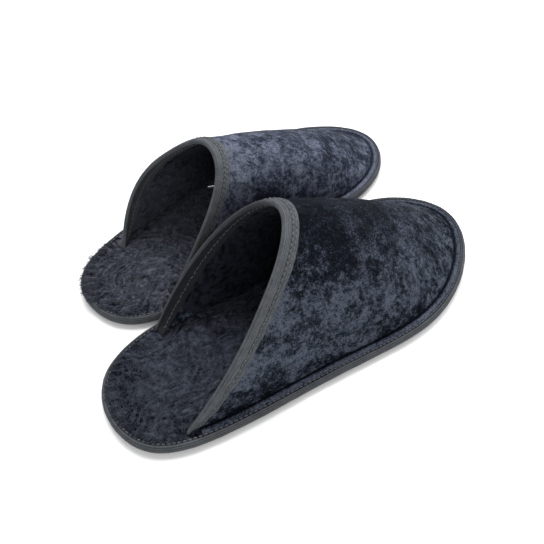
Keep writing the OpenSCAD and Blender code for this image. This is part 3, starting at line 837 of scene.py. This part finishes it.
# ---------------------------------------------------------------- sole edge
# closed section of the edge tape: inset from the outline, height before the squeeze.
# The first BINDING_SEEN points are the outer face from the top lip to under the sole.
BINDING = np.array([
    [2.40, 10.40], [2.50, 10.72], [2.38, 11.02], [2.15, 11.20], [1.82, 11.25], [1.42, 11.14],
    [1.05, 10.88], [0.72, 10.45], [0.45, 9.85], [0.22, 9.1], [0.05, 8.3], [-0.08, 7.4],
    [-0.16, 6.4], [-0.18, 5.4], [-0.14, 4.4], [-0.04, 3.4], [0.12, 2.5], [0.36, 1.7],
    [0.75, 1.0], [1.3, 0.5], [2.0, 0.28], [3.4, 0.22], [5.0, 0.22], [6.8, 0.22], [8.2, 0.25],
    [8.3, 0.7], [8.2, 1.22], [5.0, 1.25], [2.2, 1.27], [1.4, 1.32], [1.15, 1.6], [1.12, 4.0],
    [1.12, 7.0], [1.12, 9.6], [1.25, 10.2], [1.7, 10.38]])
BINDING_SEEN = 25
# heights between 1.7 and 10.4 are squeezed, those above only move down by DROP
BINDING[:, 1] = np.interp(
    BINDING[:, 1], [0, 1.7, 10.4, 12.0], [0, 1.7, 10.4 - DROP, 12.0 - DROP])


def sole_binding(side):
    seed = LOOK[side].seed
    stations = 1500
    length = (np.arange(stations) * LOOP / stations)[:, None]
    edge, normal = at_length(length)
    inset, z = BINDING.T
    slope = np.gradient(BINDING, axis=0)
    face = unit(np.stack([slope[:, 1], -slope[:, 0]], -1))
    cord = running_length(BINDING)
    index = np.arange(len(BINDING))
    seam_gap = np.minimum(length, LOOP - length)    # noise fades where the loop closes
    slack = 0.18 * fbm(coords(length / 16.0, 0.0), 3, seed + 40) * np.minimum(1, seam_gap / 20.0)
    lumps = 0.12 * fbm(coords(length / 7.0, cord / 4.0), 2, seed + 41)
    lumps *= np.minimum(1, seam_gap / 12.0)
    ribs = 0.045 * wave(length, whole_pitch(1.6))
    ribs = ribs + 0.05 * wave(cord, BINDING_RIB) * ((index > 6) & (index < 20))
    pull = -0.12 * wave(length, whole_pitch(STITCH_PITCH)) * bell(inset, 2.1, 0.8)
    pull *= z > FLANGE_Z
    relief = (ribs + lumps + pull + slack) * ((index > 0) & (index < BINDING_SEEN))
    relief *= np.where(z > 0.9, 1.0, 0.15)          # almost flat where it meets the floor
    flat = edge - normal * (inset + face[:, 0] * relief)[..., None]
    sections = with_z(flat, z + face[:, 1] * relief)
    ob = sweep(side + "_sole_binding", side, sections, "binding", closed=True,
               attrs={"along": np.broadcast_to(length, sections.shape[:2]),
                      "across": np.broadcast_to(cord, sections.shape[:2])})
    bend(ob, side, "edge_tape")


def edge_stitches(side):
    count = round(LOOP / STITCH_PITCH)
    k = np.linspace(-1, 1, 7)
    middles = (np.arange(count) + 0.5) * LOOP / count
    edge, normal = at_length(middles[:, None] + 1.15 * k)
    centre = with_z(edge - 3.12 * normal, 10.62 - DROP + (0.30 - 0.45 * np.abs(k) ** 4))
    radius = 0.38 * (1 - 0.3 * np.abs(k) ** 3)
    verts, polys = tubes(centre, with_z(normal), np.array([0, 0, 1.0]), radius)
    ob = make(side + "_edge_stitches", side, verts, polys, "edge_thread")
    bend(ob, side, "edge_thread")


# ---------------------------------------------------------------- sole plies
def crowded(low, high, count):
    """Stations from low to high, closer together at both ends."""
    return low + (high - low) * (0.5 - 0.5 * np.cos(np.pi * np.linspace(0.012, 0.988, count)))


def sole_grid(inset, columns, rows=None, stations=None):
    """x and y of a grid over the outline; rows lie at given x stations or are crowded."""
    edge = OUTLINE[:-1] - inset * outline_normal(OUTLINE_U[:-1])
    low_x, high_x = edge[:, 0].min(), edge[:, 0].max()
    if stations is None:
        stations = crowded(low_x, high_x, rows)
    stations = np.clip(stations, low_x + 0.02, high_x - 0.02)
    on_toe_side = edge[:, 1] > np.interp(edge[:, 0], [0, 280], [-1, -3])

    def border(points):
        points = points[np.argsort(points[:, 0])]
        return np.interp(stations, points[:, 0], points[:, 1])

    high, low = border(edge[on_toe_side]), border(edge[~on_toe_side])
    y = low[:, None] + (high - low)[:, None] * np.linspace(0, 1, columns)[None, :]
    return np.repeat(stations[:, None], columns, 1), y


def edge_distance(x, y):
    points = np.stack([x.ravel(), y.ravel()], -1)
    distance = np.empty(len(points))
    edge = OUTLINE[:-1:2]
    for start in range(0, len(points), 8000):    # in blocks, to save memory
        part = slice(start, start + 8000)
        distance[part] = np.sqrt(((points[part, None] - edge[None]) ** 2).sum(-1).min(1))
    return distance.reshape(x.shape)


def ply(name, side, x, y, top, bottom, material, attrs=None):
    """Closed ply: a full grid on the face given as an array, strips on the plain one."""
    rows, columns = x.shape
    detail_on_top = np.ndim(top) > 0
    detailed, plain_z = (top, bottom) if detail_on_top else (bottom, top)
    size = rows * columns
    verts = np.concatenate([coords(x, y, detailed).reshape(-1, 3),
                            coords(x[:, 0], y[:, 0], plain_z),
                            coords(x[:, -1], y[:, -1], plain_z)])
    i = np.arange(rows - 1)
    low, high = size + i, size + rows + i
    first, last = i * columns, i * columns + columns - 1
    walls = [np.stack([low, high, high + 1, low + 1], -1),
             np.stack([first, low, low + 1, first + columns], -1),
             np.stack([last, last + columns, high + 1, high], -1),
             np.r_[size, np.arange(columns), size + rows],
             np.r_[size + rows - 1, size + 2 * rows - 1,
                   (rows - 1) * columns + np.arange(columns)[::-1]]]
    if not detail_on_top:
        walls = [wall[..., ::-1] for wall in walls]
    values = {key: np.r_[v.ravel(), v[:, 0], v[:, -1]] for key, v in (attrs or {}).items()}
    ob = make(name, side, verts, [quads(rows, columns, flip=True)] + walls, material,
              values)
    bm = bmesh.new()
    bm.from_mesh(ob.data)
    bmesh.ops.recalc_face_normals(bm, faces=bm.faces)
    bm.to_mesh(ob.data)
    bm.free()
    return ob


def foot_bed(side):
    """Fleece foot bed; gives the grid values the tufts grow from."""
    look, seed = LOOK[side], LOOK[side].seed
    x, y = sole_grid(1.6, columns=170, rows=430)
    inset = edge_distance(x, y)
    # ahead of the collar tips the rim is low, where the upper comes in over it
    middle = np.interp(x, [0, 60, 140, 210, 280], [0, -2, -6, -3, -3])
    covered = smooth(-6, 4, x - np.where(y > middle, COLLARS[side][0, 0], COLLARS[side][-1, 0]))
    toe = smooth(185, 240, x)
    heel_z = 5.85 + 1.75 * smooth(2.6, 6.6, inset)
    fore_z = 4.85 + 2.75 * smooth(12.2 + 14 * toe, 17.5 + 16 * toe, inset)
    base = heel_z * (1 - covered) + fore_z * covered
    # pile clumps, stretched along a wandering direction
    flat = coords(x, y)
    bent = flat + coords(fbm(flat / 19.0, 2, seed + 60), fbm(flat / 19.0, 2, seed + 61)) * 9
    angle = 0.55 + 0.9 * fbm(flat / 45.0, 2, seed + 62)
    along, across = turned(bent, angle)
    clumps = fbm(coords(along / 5.2, across / 2.3), 3, seed + 63, gain=0.62)
    near, second = cells(coords(bent[..., 0] / 4.4, bent[..., 1] / 3.4, 0.5), seed + 64)
    nooks = bell(second - near, 0, 0.20) * smooth(-0.25, 0.25, fbm(flat / 8.0, 2, seed + 67))
    # short combed streaks pointing outwards along the heel rim
    bearing = np.arctan2(y + 2, x - 46.0)
    streaks = fbm(coords(bearing * 15.0, inset / 7.5), 2, seed + 68)
    streaks = streaks * smooth(17, 8, inset) * smooth(70, 45, x)
    lumps = 0.95 * clumps + 0.40 * (0.5 - near) - 0.28 * nooks + 0.85 * streaks
    fine = 0.30 * fbm(flat / 1.4, 2, seed + 65)
    # worn flat in an oval under the heel
    wear = np.exp(-(((x - 74) / 62.0) ** 2 + ((y + 4) / 27.0) ** 2)) * look.wear
    rim = 1 + 0.25 * smooth(26, 8, inset)
    amount = (1.45 - 0.95 * wear) * (0.30 + 0.70 * smooth(2.6, 7.0, inset)) * rim
    keep = 1 - covered * (1 - smooth(11.5 + 14 * toe, 16 + 16 * toe, inset))
    z = base + keep * (lumps * 1.15 * amount + fine * (0.6 + 0.4 * amount) - 0.7 * wear)
    z = np.clip(z, 4.7, 9.6)
    # pile tone: painted light on the clumps and painted shade in the hollows, stronger near the
    # rim, with random grain, and painted shade growing from x 60 mm to full at 150 mm (painted
    # light where that share is negative)
    pile = clamp(0.5 + 0.52 * lumps * (1 - 0.40 * wear) * (1 + 0.45 * smooth(26, 8, inset))
                 + 0.38 * fbm(flat / 1.7, 3, seed + 66, gain=0.75)
                 - smooth(60, 150, x) * look.toe_shade)
    ob = ply(side + "_foot_bed_fleece", side, x, y, z, 4.52,
             "fleece_" + side, {"pile": pile, "wear": wear})
    bend(ob, side, "fleece_sock_fore", "fleece_sock_heel")
    return SimpleNamespace(x=x, y=y, z=z, inset=inset, covered=covered, angle=angle,
                           wear=wear, pile=pile)


def foot_bed_tufts(side, bed):
    """Loose tufts of the pile, as closed curved spikes."""
    rng = np.random.default_rng(LOOK[side].seed)
    wanted, rings, sides = 6800, 4, 4
    tries = wanted * 3
    i = rng.integers(3, bed.x.shape[0] - 3, tries)
    j = rng.integers(2, bed.x.shape[1] - 2, tries)
    inset = bed.inset[i, j]
    seen = (bed.x[i, j] < 150) & (inset > 3.0) & ((bed.covered[i, j] < 0.5) | (inset > 15))
    chance = np.where(inset < 12, 1.0, 0.55) * (1 - 0.55 * bed.wear[i, j])
    chosen = seen & (rng.random(tries) < chance)
    spots = i[chosen][:wanted], j[chosen][:wanted]
    inset, wear = bed.inset[spots], bed.wear[spots]
    count = len(inset)
    root = coords(bed.x[spots], bed.y[spots], bed.z[spots] - 0.35)
    angle = bed.angle[spots] + rng.normal(0, 0.55, count)
    angle = angle + np.where(rng.random(count) < 0.5, np.pi, 0)
    # tufts near the rim lean outwards
    away = unit(root[:, :2] - np.array([70.0, -3.0]))
    near_rim = smooth(14, 3.5, inset)[:, None]
    way = np.stack([np.cos(angle), np.sin(angle)], -1) * (1 - 0.55 * near_rim)
    way = unit(way + away * near_rim * 0.9)
    length = rng.uniform(1.5, 3.0, count)
    lift = rng.uniform(0.25, 0.75, count)
    curl = rng.normal(0, 0.35, count)
    if side == "left":
        # the longer pile at the outer back of this heel spills over the binding
        spills = (root[:, 1] < -3) & (root[:, 0] < 74) & (inset < 8.5)
        length = np.where(spills, length * 1.9, length)
        lift = np.where(spills, 0.30 + 0.6 * lift, lift)
        way = np.where(spills[:, None], unit(away + 0.45 * way), way)
    sideways = np.stack([-way[:, 1], way[:, 0]], -1)
    k = np.linspace(0, 1, rings)
    run = length[:, None] * k
    drift = curl[:, None] * run ** 2 / length[:, None]
    flat = (root[:, None, :2] + way[:, None, :] * (run * 0.92)[..., None]
            + sideways[:, None, :] * drift[..., None])
    arch = (lift * length)[:, None] * (k - 0.62 * k ** 2) * 1.3
    centre = with_z(flat, root[:, 2:] + 0.45 + arch - 0.45 * (1 - k))
    radius = rng.uniform(0.20, 0.34, count)[:, None] * np.array([1.0, 0.95, 0.68, 0.12])
    verts, polys = tubes(centre, *ring_axes(centre), radius, sides=sides)
    verts[:, 2] = np.minimum(verts[:, 2], 11.0)
    pile = clamp(0.35 + 0.55 * bed.pile[spots] + rng.normal(0, 0.12, count))
    ob = make(side + "_foot_bed_tufts", side, verts, polys, "fleece_" + side,
              {"pile": np.repeat(pile, rings * sides), "wear": np.repeat(wear, rings * sides)})
    bend(ob, side)


def flat_ply(side, name, inset, top, bottom, grain, grain_size, seed, material, node):
    """A plain ply with a slightly uneven top."""
    x, y = sole_grid(inset, columns=30, rows=120)
    uneven = grain * value_noise(coords(x, y) / grain_size, LOOK[side].seed + seed)
    ob = ply(side + name, side, x, y, top + uneven, bottom, material)
    bend(ob, side, node + "_fore", node + "_heel")


def outsole(side):
    """Sole pad with cross grooves and a fine diamond texture underneath."""
    pitch, first, width = 10, 4.0, 2.0
    plain_x = 0.66 * SOLE_LENGTH    # the groove nearest this x is left out

    def has_groove(index):
        return np.abs(index * pitch + 5 - plain_x) > 4

    stations = list(crowded(2.1, 278.4, 300))
    for index in range(29):
        start = index * pitch + first
        if has_groove(index) and first < start < 274:
            stations += [start - 0.12, start + 0.12, start + width / 2,
                         start + width - 0.12, start + width + 0.12]
    stations = np.unique(np.round(stations, 2))
    stations = stations[np.r_[True, np.diff(stations) > 0.1]]
    x, y = sole_grid(1.45, columns=150, stations=stations)
    inset = edge_distance(x, y)
    phase = np.mod(x - first, pitch)
    index = np.floor((x - first) / pitch)
    groove = (phase > -0.05) & (phase < width) & has_groove(index) & (index >= 0)
    rim = 1.3 * (1 - smooth(8.9, 9.5, inset))
    diamonds = 0.10 * (np.maximum(np.cos(np.pi * (x + y) / 1.9), 0) ** 2
                       + np.maximum(np.cos(np.pi * (x - y) / 1.9), 0) ** 2)
    underside = rim + np.where(groove, 0.7 * smooth(15.0, 15.8, inset),
                               diamonds * smooth(10, 11, inset) * 0.9)
    ob = ply(side + "_outsole_sheet", side, x, y, 2.18, underside, "outsole")
    bend(ob, side, "outsole_fore", "outsole_heel")


def slipper(side):
    velvet_upper(side)
    foam_interlining(side)
    lining_fleece(side)
    path = CollarPath(side)
    collar_tape(path)
    collar_stitches(path)
    sole_binding(side)
    edge_stitches(side)
    foot_bed_tufts(side, foot_bed(side))
    flat_ply(side, "_insole_board_sheet", inset=2.3, top=4.38, bottom=3.62, grain=0.03,
             grain_size=3.0, seed=70, material="board",
             node="insole_board")
    flat_ply(side, "_midsole_foam_sheet", inset=1.45, top=3.46, bottom=2.32, grain=0.04,
             grain_size=2.0, seed=71, material="midsole", node="midsole")
    outsole(side)


def thread_tail():
    """Loose thread end inside the left collar, on the big-toe side."""
    upper = Upper("left", np.linspace(0.0, 1.0, 201))
    spot = 51
    start = upper.collar[spot] - upper.normals[-1][spot] * (NIPPED + TAPE_GAP) * 0.8
    way = unit(np.array([-0.74, -0.66, 0.10]))
    k = np.linspace(0, 1, 12)[:, None]
    length, sag, sway = 4.9, 0.9, 0.3
    centre = (start + way * k * length + np.array([0, 0, -sag]) * k ** 2
              + np.array([0, sway, 0]) * np.sin(k * 3))[None]
    radius = 0.42 - 0.10 * k[:, 0] ** 3
    verts, polys = tubes(centre, *ring_axes(centre), radius, sides=8)
    ob = make("left_thread_tail", "left", verts, polys, "pale_thread")
    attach(ob, "left_heel")


# ---------------------------------------------------------------- materials
def rgb(*levels):
    """Linear colour from 8-bit sRGB levels."""
    shares = [level / 255 for level in levels]
    return (*(v / 12.92 if v <= 0.04045 else ((v + 0.055) / 1.055) ** 2.4 for v in shares), 1.0)


class Value:
    """A node output; arithmetic on it adds maths nodes."""

    def __init__(self, shader, socket):
        self.shader, self.socket = shader, socket

    def __add__(self, other):
        return self.shader.math("ADD", self, other)

    def __radd__(self, other):
        return self.shader.math("ADD", other, self)

    def __sub__(self, other):
        return self.shader.math("SUBTRACT", self, other)

    def __mul__(self, other):
        return self.shader.math("MULTIPLY", self, other)


class Shader:
    """A new material with one Principled shader."""

    def __init__(self, name):
        material = bpy.data.materials.new(name)
        MATERIALS[name] = material
        material.use_nodes = True
        self.tree = material.node_tree
        self.tree.nodes.clear()
        output = self.node("OutputMaterial")
        self.principled = self.node("BsdfPrincipled")
        self.tree.links.new(self.principled.outputs[0], output.inputs[0])
        self.object_coords = Value(self, self.node("TexCoord").outputs["Object"])

    def node(self, kind, inputs=None, **settings):
        node = self.tree.nodes.new("ShaderNode" + kind)
        for key, value in settings.items():
            setattr(node, key, value)
        self.fill(node, inputs or {})
        return node

    def fill(self, node, inputs):
        for key, value in inputs.items():
            if isinstance(value, Value):
                self.tree.links.new(value.socket, node.inputs[key])
            else:
                node.inputs[key].default_value = value

    def attribute(self, name):
        return Value(self, self.node("Attribute", attribute_name=name).outputs["Fac"])

    def texture(self, kind, output, settings=None, **inputs):
        inputs["Vector"] = self.object_coords
        node = self.node("Tex" + kind, inputs, **(settings or {}))
        return Value(self, node.outputs[output])

    def noise(self, scale, detail, rough, distortion=0.0):
        return self.texture("Noise", "Fac", Scale=scale, Detail=detail, Roughness=rough,
                            Distortion=distortion)

    def math(self, operation, first, second, clamped=False):
        node = self.node("Math", {0: first, 1: second}, operation=operation, use_clamp=clamped)
        return Value(self, node.outputs[0])

    def clamped_sum(self, first, second):
        return self.math("ADD", first, second, clamped=True)

    def ramp(self, factor, stops):
        node = self.node("ValToRGB", {0: factor})
        elements = node.color_ramp.elements
        while len(elements) < len(stops):
            elements.new(0.5)
        for element, (position, color) in zip(elements, stops):
            element.position = position
            element.color = color
        return Value(self, node.outputs[0])

    def mix(self, factor, base, other):
        node = self.node("Mix", {}, data_type="RGBA")
        self.fill(node, {0: factor, 6: base, 7: other})
        return Value(self, node.outputs[2])

    def surface(self, **inputs):
        named = {key.replace("_", " "): value for key, value in inputs.items()}
        self.fill(self.principled, named)

    def bump(self, height, strength, distance):
        node = self.node("Bump", {"Strength": strength, "Distance": distance, "Height": height})
        self.surface(Normal=Value(self, node.outputs[0]))


def velvet(name, dark, middle, light, sheen):
    shader = Shader(name)
    fine = shader.noise(scale=560, detail=5, rough=0.75, distortion=0.5)
    tiny = shader.noise(scale=1700, detail=3, rough=0.7)
    pile = (fine - 0.5) * 2.0 + shader.attribute("crush_and_shading") * 0.92
    pile = shader.clamped_sum((tiny - 0.5) * 2.4, pile)
    color = shader.ramp(pile, [(0.0, dark), (0.16, dark), (0.52, middle), (1.0, light)])
    shader.surface(Base_Color=color, Roughness=0.85, Specular_IOR_Level=0.04,
                   Sheen_Weight=pile * sheen, Sheen_Roughness=0.35,
                   Sheen_Tint=rgb(150, 158, 182))
    shader.bump(fine + tiny * 0.6, strength=0.6, distance=0.0006)


def fleece(name, dark, light):
    shader = Shader(name)
    fine = shader.noise(scale=650, detail=4, rough=0.7, distortion=0.4)
    coarse = shader.noise(scale=180, detail=3, rough=0.6)
    pile = (fine - 0.5) * 0.75 + shader.attribute("pile")
    pile = shader.clamped_sum((coarse - 0.5) * 0.5, pile)
    shader.surface(Base_Color=shader.ramp(pile, [(0.08, dark), (0.85, light)]),
                   Roughness=0.92, Specular_IOR_Level=0.04, Sheen_Weight=0.12,
                   Sheen_Roughness=0.5, Sheen_Tint=rgb(150, 155, 170))
    shader.bump(fine + coarse, strength=0.6, distance=0.0008)


def ribbed(name, dark, light, pitch, accent=None):
    """Woven tape: fine ribs along it, weft across it, and painted highlights on the high
    threads.
    """
    shader = Shader(name)
    along, across = shader.attribute("along"), shader.attribute("across")
    ribs = shader.math("SINE", across * (2 * math.pi / pitch), 0.0)
    weft = shader.math("SINE", along * (2 * math.pi / WEFT), 0.0)
    weave = ribs * 0.26 + weft * 0.10
    blotches = shader.noise(scale=160, detail=4, rough=0.65)
    grain = shader.noise(scale=1300, detail=3, rough=0.7)
    tone = weave + 0.5 + (blotches - 0.5) * 0.8
    tone = shader.clamped_sum(tone, (grain - 0.5) * 0.7)
    color = shader.ramp(tone, [(0.0, dark), (1.0, light)])
    if accent:
        color = accent(shader, color, across, along)
    shader.surface(Base_Color=color, Roughness=0.74, Specular_IOR_Level=0.12,
                   Sheen_Weight=0.10, Sheen_Tint=rgb(180, 182, 186))
    shader.bump(weave + grain * 0.5, strength=0.5, distance=0.0003)


def collar_accent(shader, color, across, along):
    """Darker stitched channel; painted shade on the fold and the inside face."""
    offset = across - ROW_HIGH
    channel = shader.math("POWER", 2.718, offset * offset * -2.2)
    dashes = 0.6 + shader.math("SINE", along * (2 * math.pi / STITCH_PITCH), 0.0) * 0.4
    color = shader.mix(channel * 0.62 * dashes, color, rgb(38, 41, 44))
    inside = shader.math("LESS_THAN", across, -0.75)
    fold = shader.math("LESS_THAN", across, -0.45)
    # painted shade over the fold and the inside face
    color = shader.mix(fold * 0.42, color, rgb(26, 28, 32))
    # shade is 1 where painted shade falls on the fold and the top of the outer face, -1 where
    # the inside gets less painted shade (painted light)
    shade = shader.attribute("shade")
    lit = shader.math("MINIMUM", shade, 0.0)
    color = shader.mix(inside * (0.72 + lit * 0.36), color, rgb(13, 15, 19))
    near_edge = shader.math("LESS_THAN", across, 0.9) * shader.math("MAXIMUM", shade, 0.0)
    return shader.mix(near_edge * 0.55, color, rgb(20, 22, 27))


def thread(name, dark, light):
    shader = Shader(name)
    twist = shader.texture("Wave", "Fac", dict(wave_type="BANDS", bands_direction="DIAGONAL"),
                           Scale=420, Distortion=1.5)
    grain = shader.noise(scale=900, detail=3, rough=0.6)
    tone = shader.clamped_sum(twist * 0.6, grain * 0.4)
    shader.surface(Base_Color=shader.ramp(tone, [(0.1, dark), (0.9, light)]), Roughness=0.55,
                   Sheen_Weight=0.15)
    shader.bump(twist, strength=0.5, distance=0.0001)


def plain(name, dark, light, scale, rough, bump, cellular=False):
    shader = Shader(name)
    if cellular:
        fine = shader.texture("Voronoi", "Distance", Scale=scale)
    else:
        fine = shader.noise(scale=scale, detail=5, rough=0.65, distortion=0.3)
    coarse = shader.noise(scale=scale * 0.12, detail=3, rough=0.5)
    tone = shader.clamped_sum(fine * 0.7, coarse * 0.4)
    shader.surface(Base_Color=shader.ramp(tone, [(0.15, dark), (0.85, light)]),
                   Roughness=rough + coarse * 0.12)
    shader.bump(fine, strength=0.5, distance=bump)


def make_materials():
    # each cloth is one for the pair; the left copies of velvet, fleece and lining are painted
    # lighter (painted light) and the right copies darker (painted shade)
    velvet("velvet_right", dark=rgb(5, 8, 14), middle=rgb(34, 39, 49), light=rgb(78, 84, 96),
           sheen=0.10)
    velvet("velvet_left", dark=rgb(24, 28, 38), middle=rgb(54, 59, 73),
           light=rgb(94, 99, 113), sheen=0.14)
    fleece("fleece_right", dark=rgb(12, 15, 22), light=rgb(60, 64, 74))
    fleece("fleece_left", dark=rgb(20, 23, 31), light=rgb(72, 75, 84))
    fleece("lining_right", dark=rgb(2, 3, 6), light=rgb(32, 35, 44))
    fleece("lining_left", dark=rgb(2, 3, 6), light=rgb(63, 67, 77))
    ribbed("grosgrain", dark=rgb(42, 45, 49), light=rgb(98, 102, 106), pitch=COLLAR_RIB,
           accent=collar_accent)
    ribbed("binding", dark=rgb(28, 31, 35), light=rgb(82, 85, 88), pitch=BINDING_RIB)
    thread("collar_thread", dark=rgb(30, 33, 37), light=rgb(84, 88, 93))
    thread("edge_thread", dark=rgb(40, 43, 50), light=rgb(86, 90, 98))
    thread("pale_thread", dark=rgb(96, 96, 100), light=rgb(150, 150, 154))
    plain("foam", dark=rgb(62, 64, 70), light=rgb(98, 100, 106), scale=1400, rough=0.8,
          bump=0.0003, cellular=True)
    plain("midsole", dark=rgb(196, 194, 186), light=rgb(224, 222, 214), scale=1100,
          rough=0.75, bump=0.0002, cellular=True)
    plain("board", dark=rgb(128, 106, 78), light=rgb(168, 146, 112), scale=500, rough=0.8,
          bump=0.0002)
    plain("outsole", dark=rgb(18, 18, 20), light=rgb(40, 40, 43), scale=700, rough=0.62,
          bump=0.0002)


# ---------------------------------------------------------------- floor, light, camera; metres
def make_floor(scene):
    shader = Shader("floor")
    tone = shader.noise(scale=3, detail=2, rough=0.5)
    shader.surface(Roughness=0.9, Base_Color=shader.ramp(
        tone, [(0.3, (0.86, 0.86, 0.865, 1)), (0.7, (0.88, 0.88, 0.885, 1))]))
    mesh = bpy.data.meshes.new("floor")
    mesh.from_pydata([(-4, -4, 0), (4, -4, 0), (4, 4, 0), (-4, 4, 0)], [], [(0, 1, 2, 3)])
    floor = bpy.data.objects.new("floor", mesh)
    floor.location.z = -0.0004
    scene.collection.objects.link(floor)
    mesh.materials.append(MATERIALS["floor"])


def make_world(scene):
    world = bpy.data.worlds.new("studio")
    scene.world = world
    world.use_nodes = True
    background = world.node_tree.nodes["Background"]
    background.inputs["Color"].default_value = (1.0, 1.0, 1.0, 1)
    background.inputs["Strength"].default_value = 0.62


def area_light(scene, name, location, size, power, target=(0, 0, 0.03)):
    light = bpy.data.lights.new(name, "AREA")
    light.shape = "RECTANGLE"
    light.size, light.size_y = size
    light.energy = power
    ob = bpy.data.objects.new(name, light)
    ob.location = location
    ob.rotation_euler = (Vector(target) - Vector(location)).to_track_quat("-Z", "Y").to_euler()
    scene.collection.objects.link(ob)


def make_camera(scene):
    azimuth, elevation = math.radians(-42.06), math.radians(49.19)
    roll, distance = math.radians(-1.26), 0.3216
    data = bpy.data.cameras.new("camera")
    data.lens = 32.53
    data.sensor_width = 36
    data.clip_start = 0.01
    camera = bpy.data.objects.new("camera", data)
    scene.collection.objects.link(camera)
    back = Vector((math.sin(azimuth) * math.cos(elevation),
                   -math.cos(azimuth) * math.cos(elevation), math.sin(elevation)))
    right = Vector((math.cos(azimuth), math.sin(azimuth), 0))
    turn = Matrix((right, back.cross(right), back)).transposed().to_4x4()
    matrix = turn @ Matrix.Rotation(-roll, 4, "Z")
    heel = PLACES["right"].offset / 1000.0    # origin of the right slipper's frame
    target = Vector((heel[0] + 0.13078, heel[1] + 0.01229, 0.020))
    matrix.translation = target + back * distance
    camera.matrix_world = matrix
    scene.camera = camera


make_materials()
for slipper_side in ("right", "left"):
    slipper(slipper_side)
thread_tail()

stage = bpy.context.scene
stage.view_settings.view_transform = "Standard"
stage.view_settings.look = "None"
make_floor(stage)
make_world(stage)
area_light(stage, "key", location=(0.35, 0.55, 1.30), size=(0.9, 0.7), power=24)
area_light(stage, "fill", location=(-0.5, -1.1, 0.9), size=(1.0, 0.8), power=7)
area_light(stage, "rim", location=(1.1, -0.1, 0.8), size=(0.7, 0.7), power=5,
           target=(0.05, 0, 0.03))
make_camera(stage)
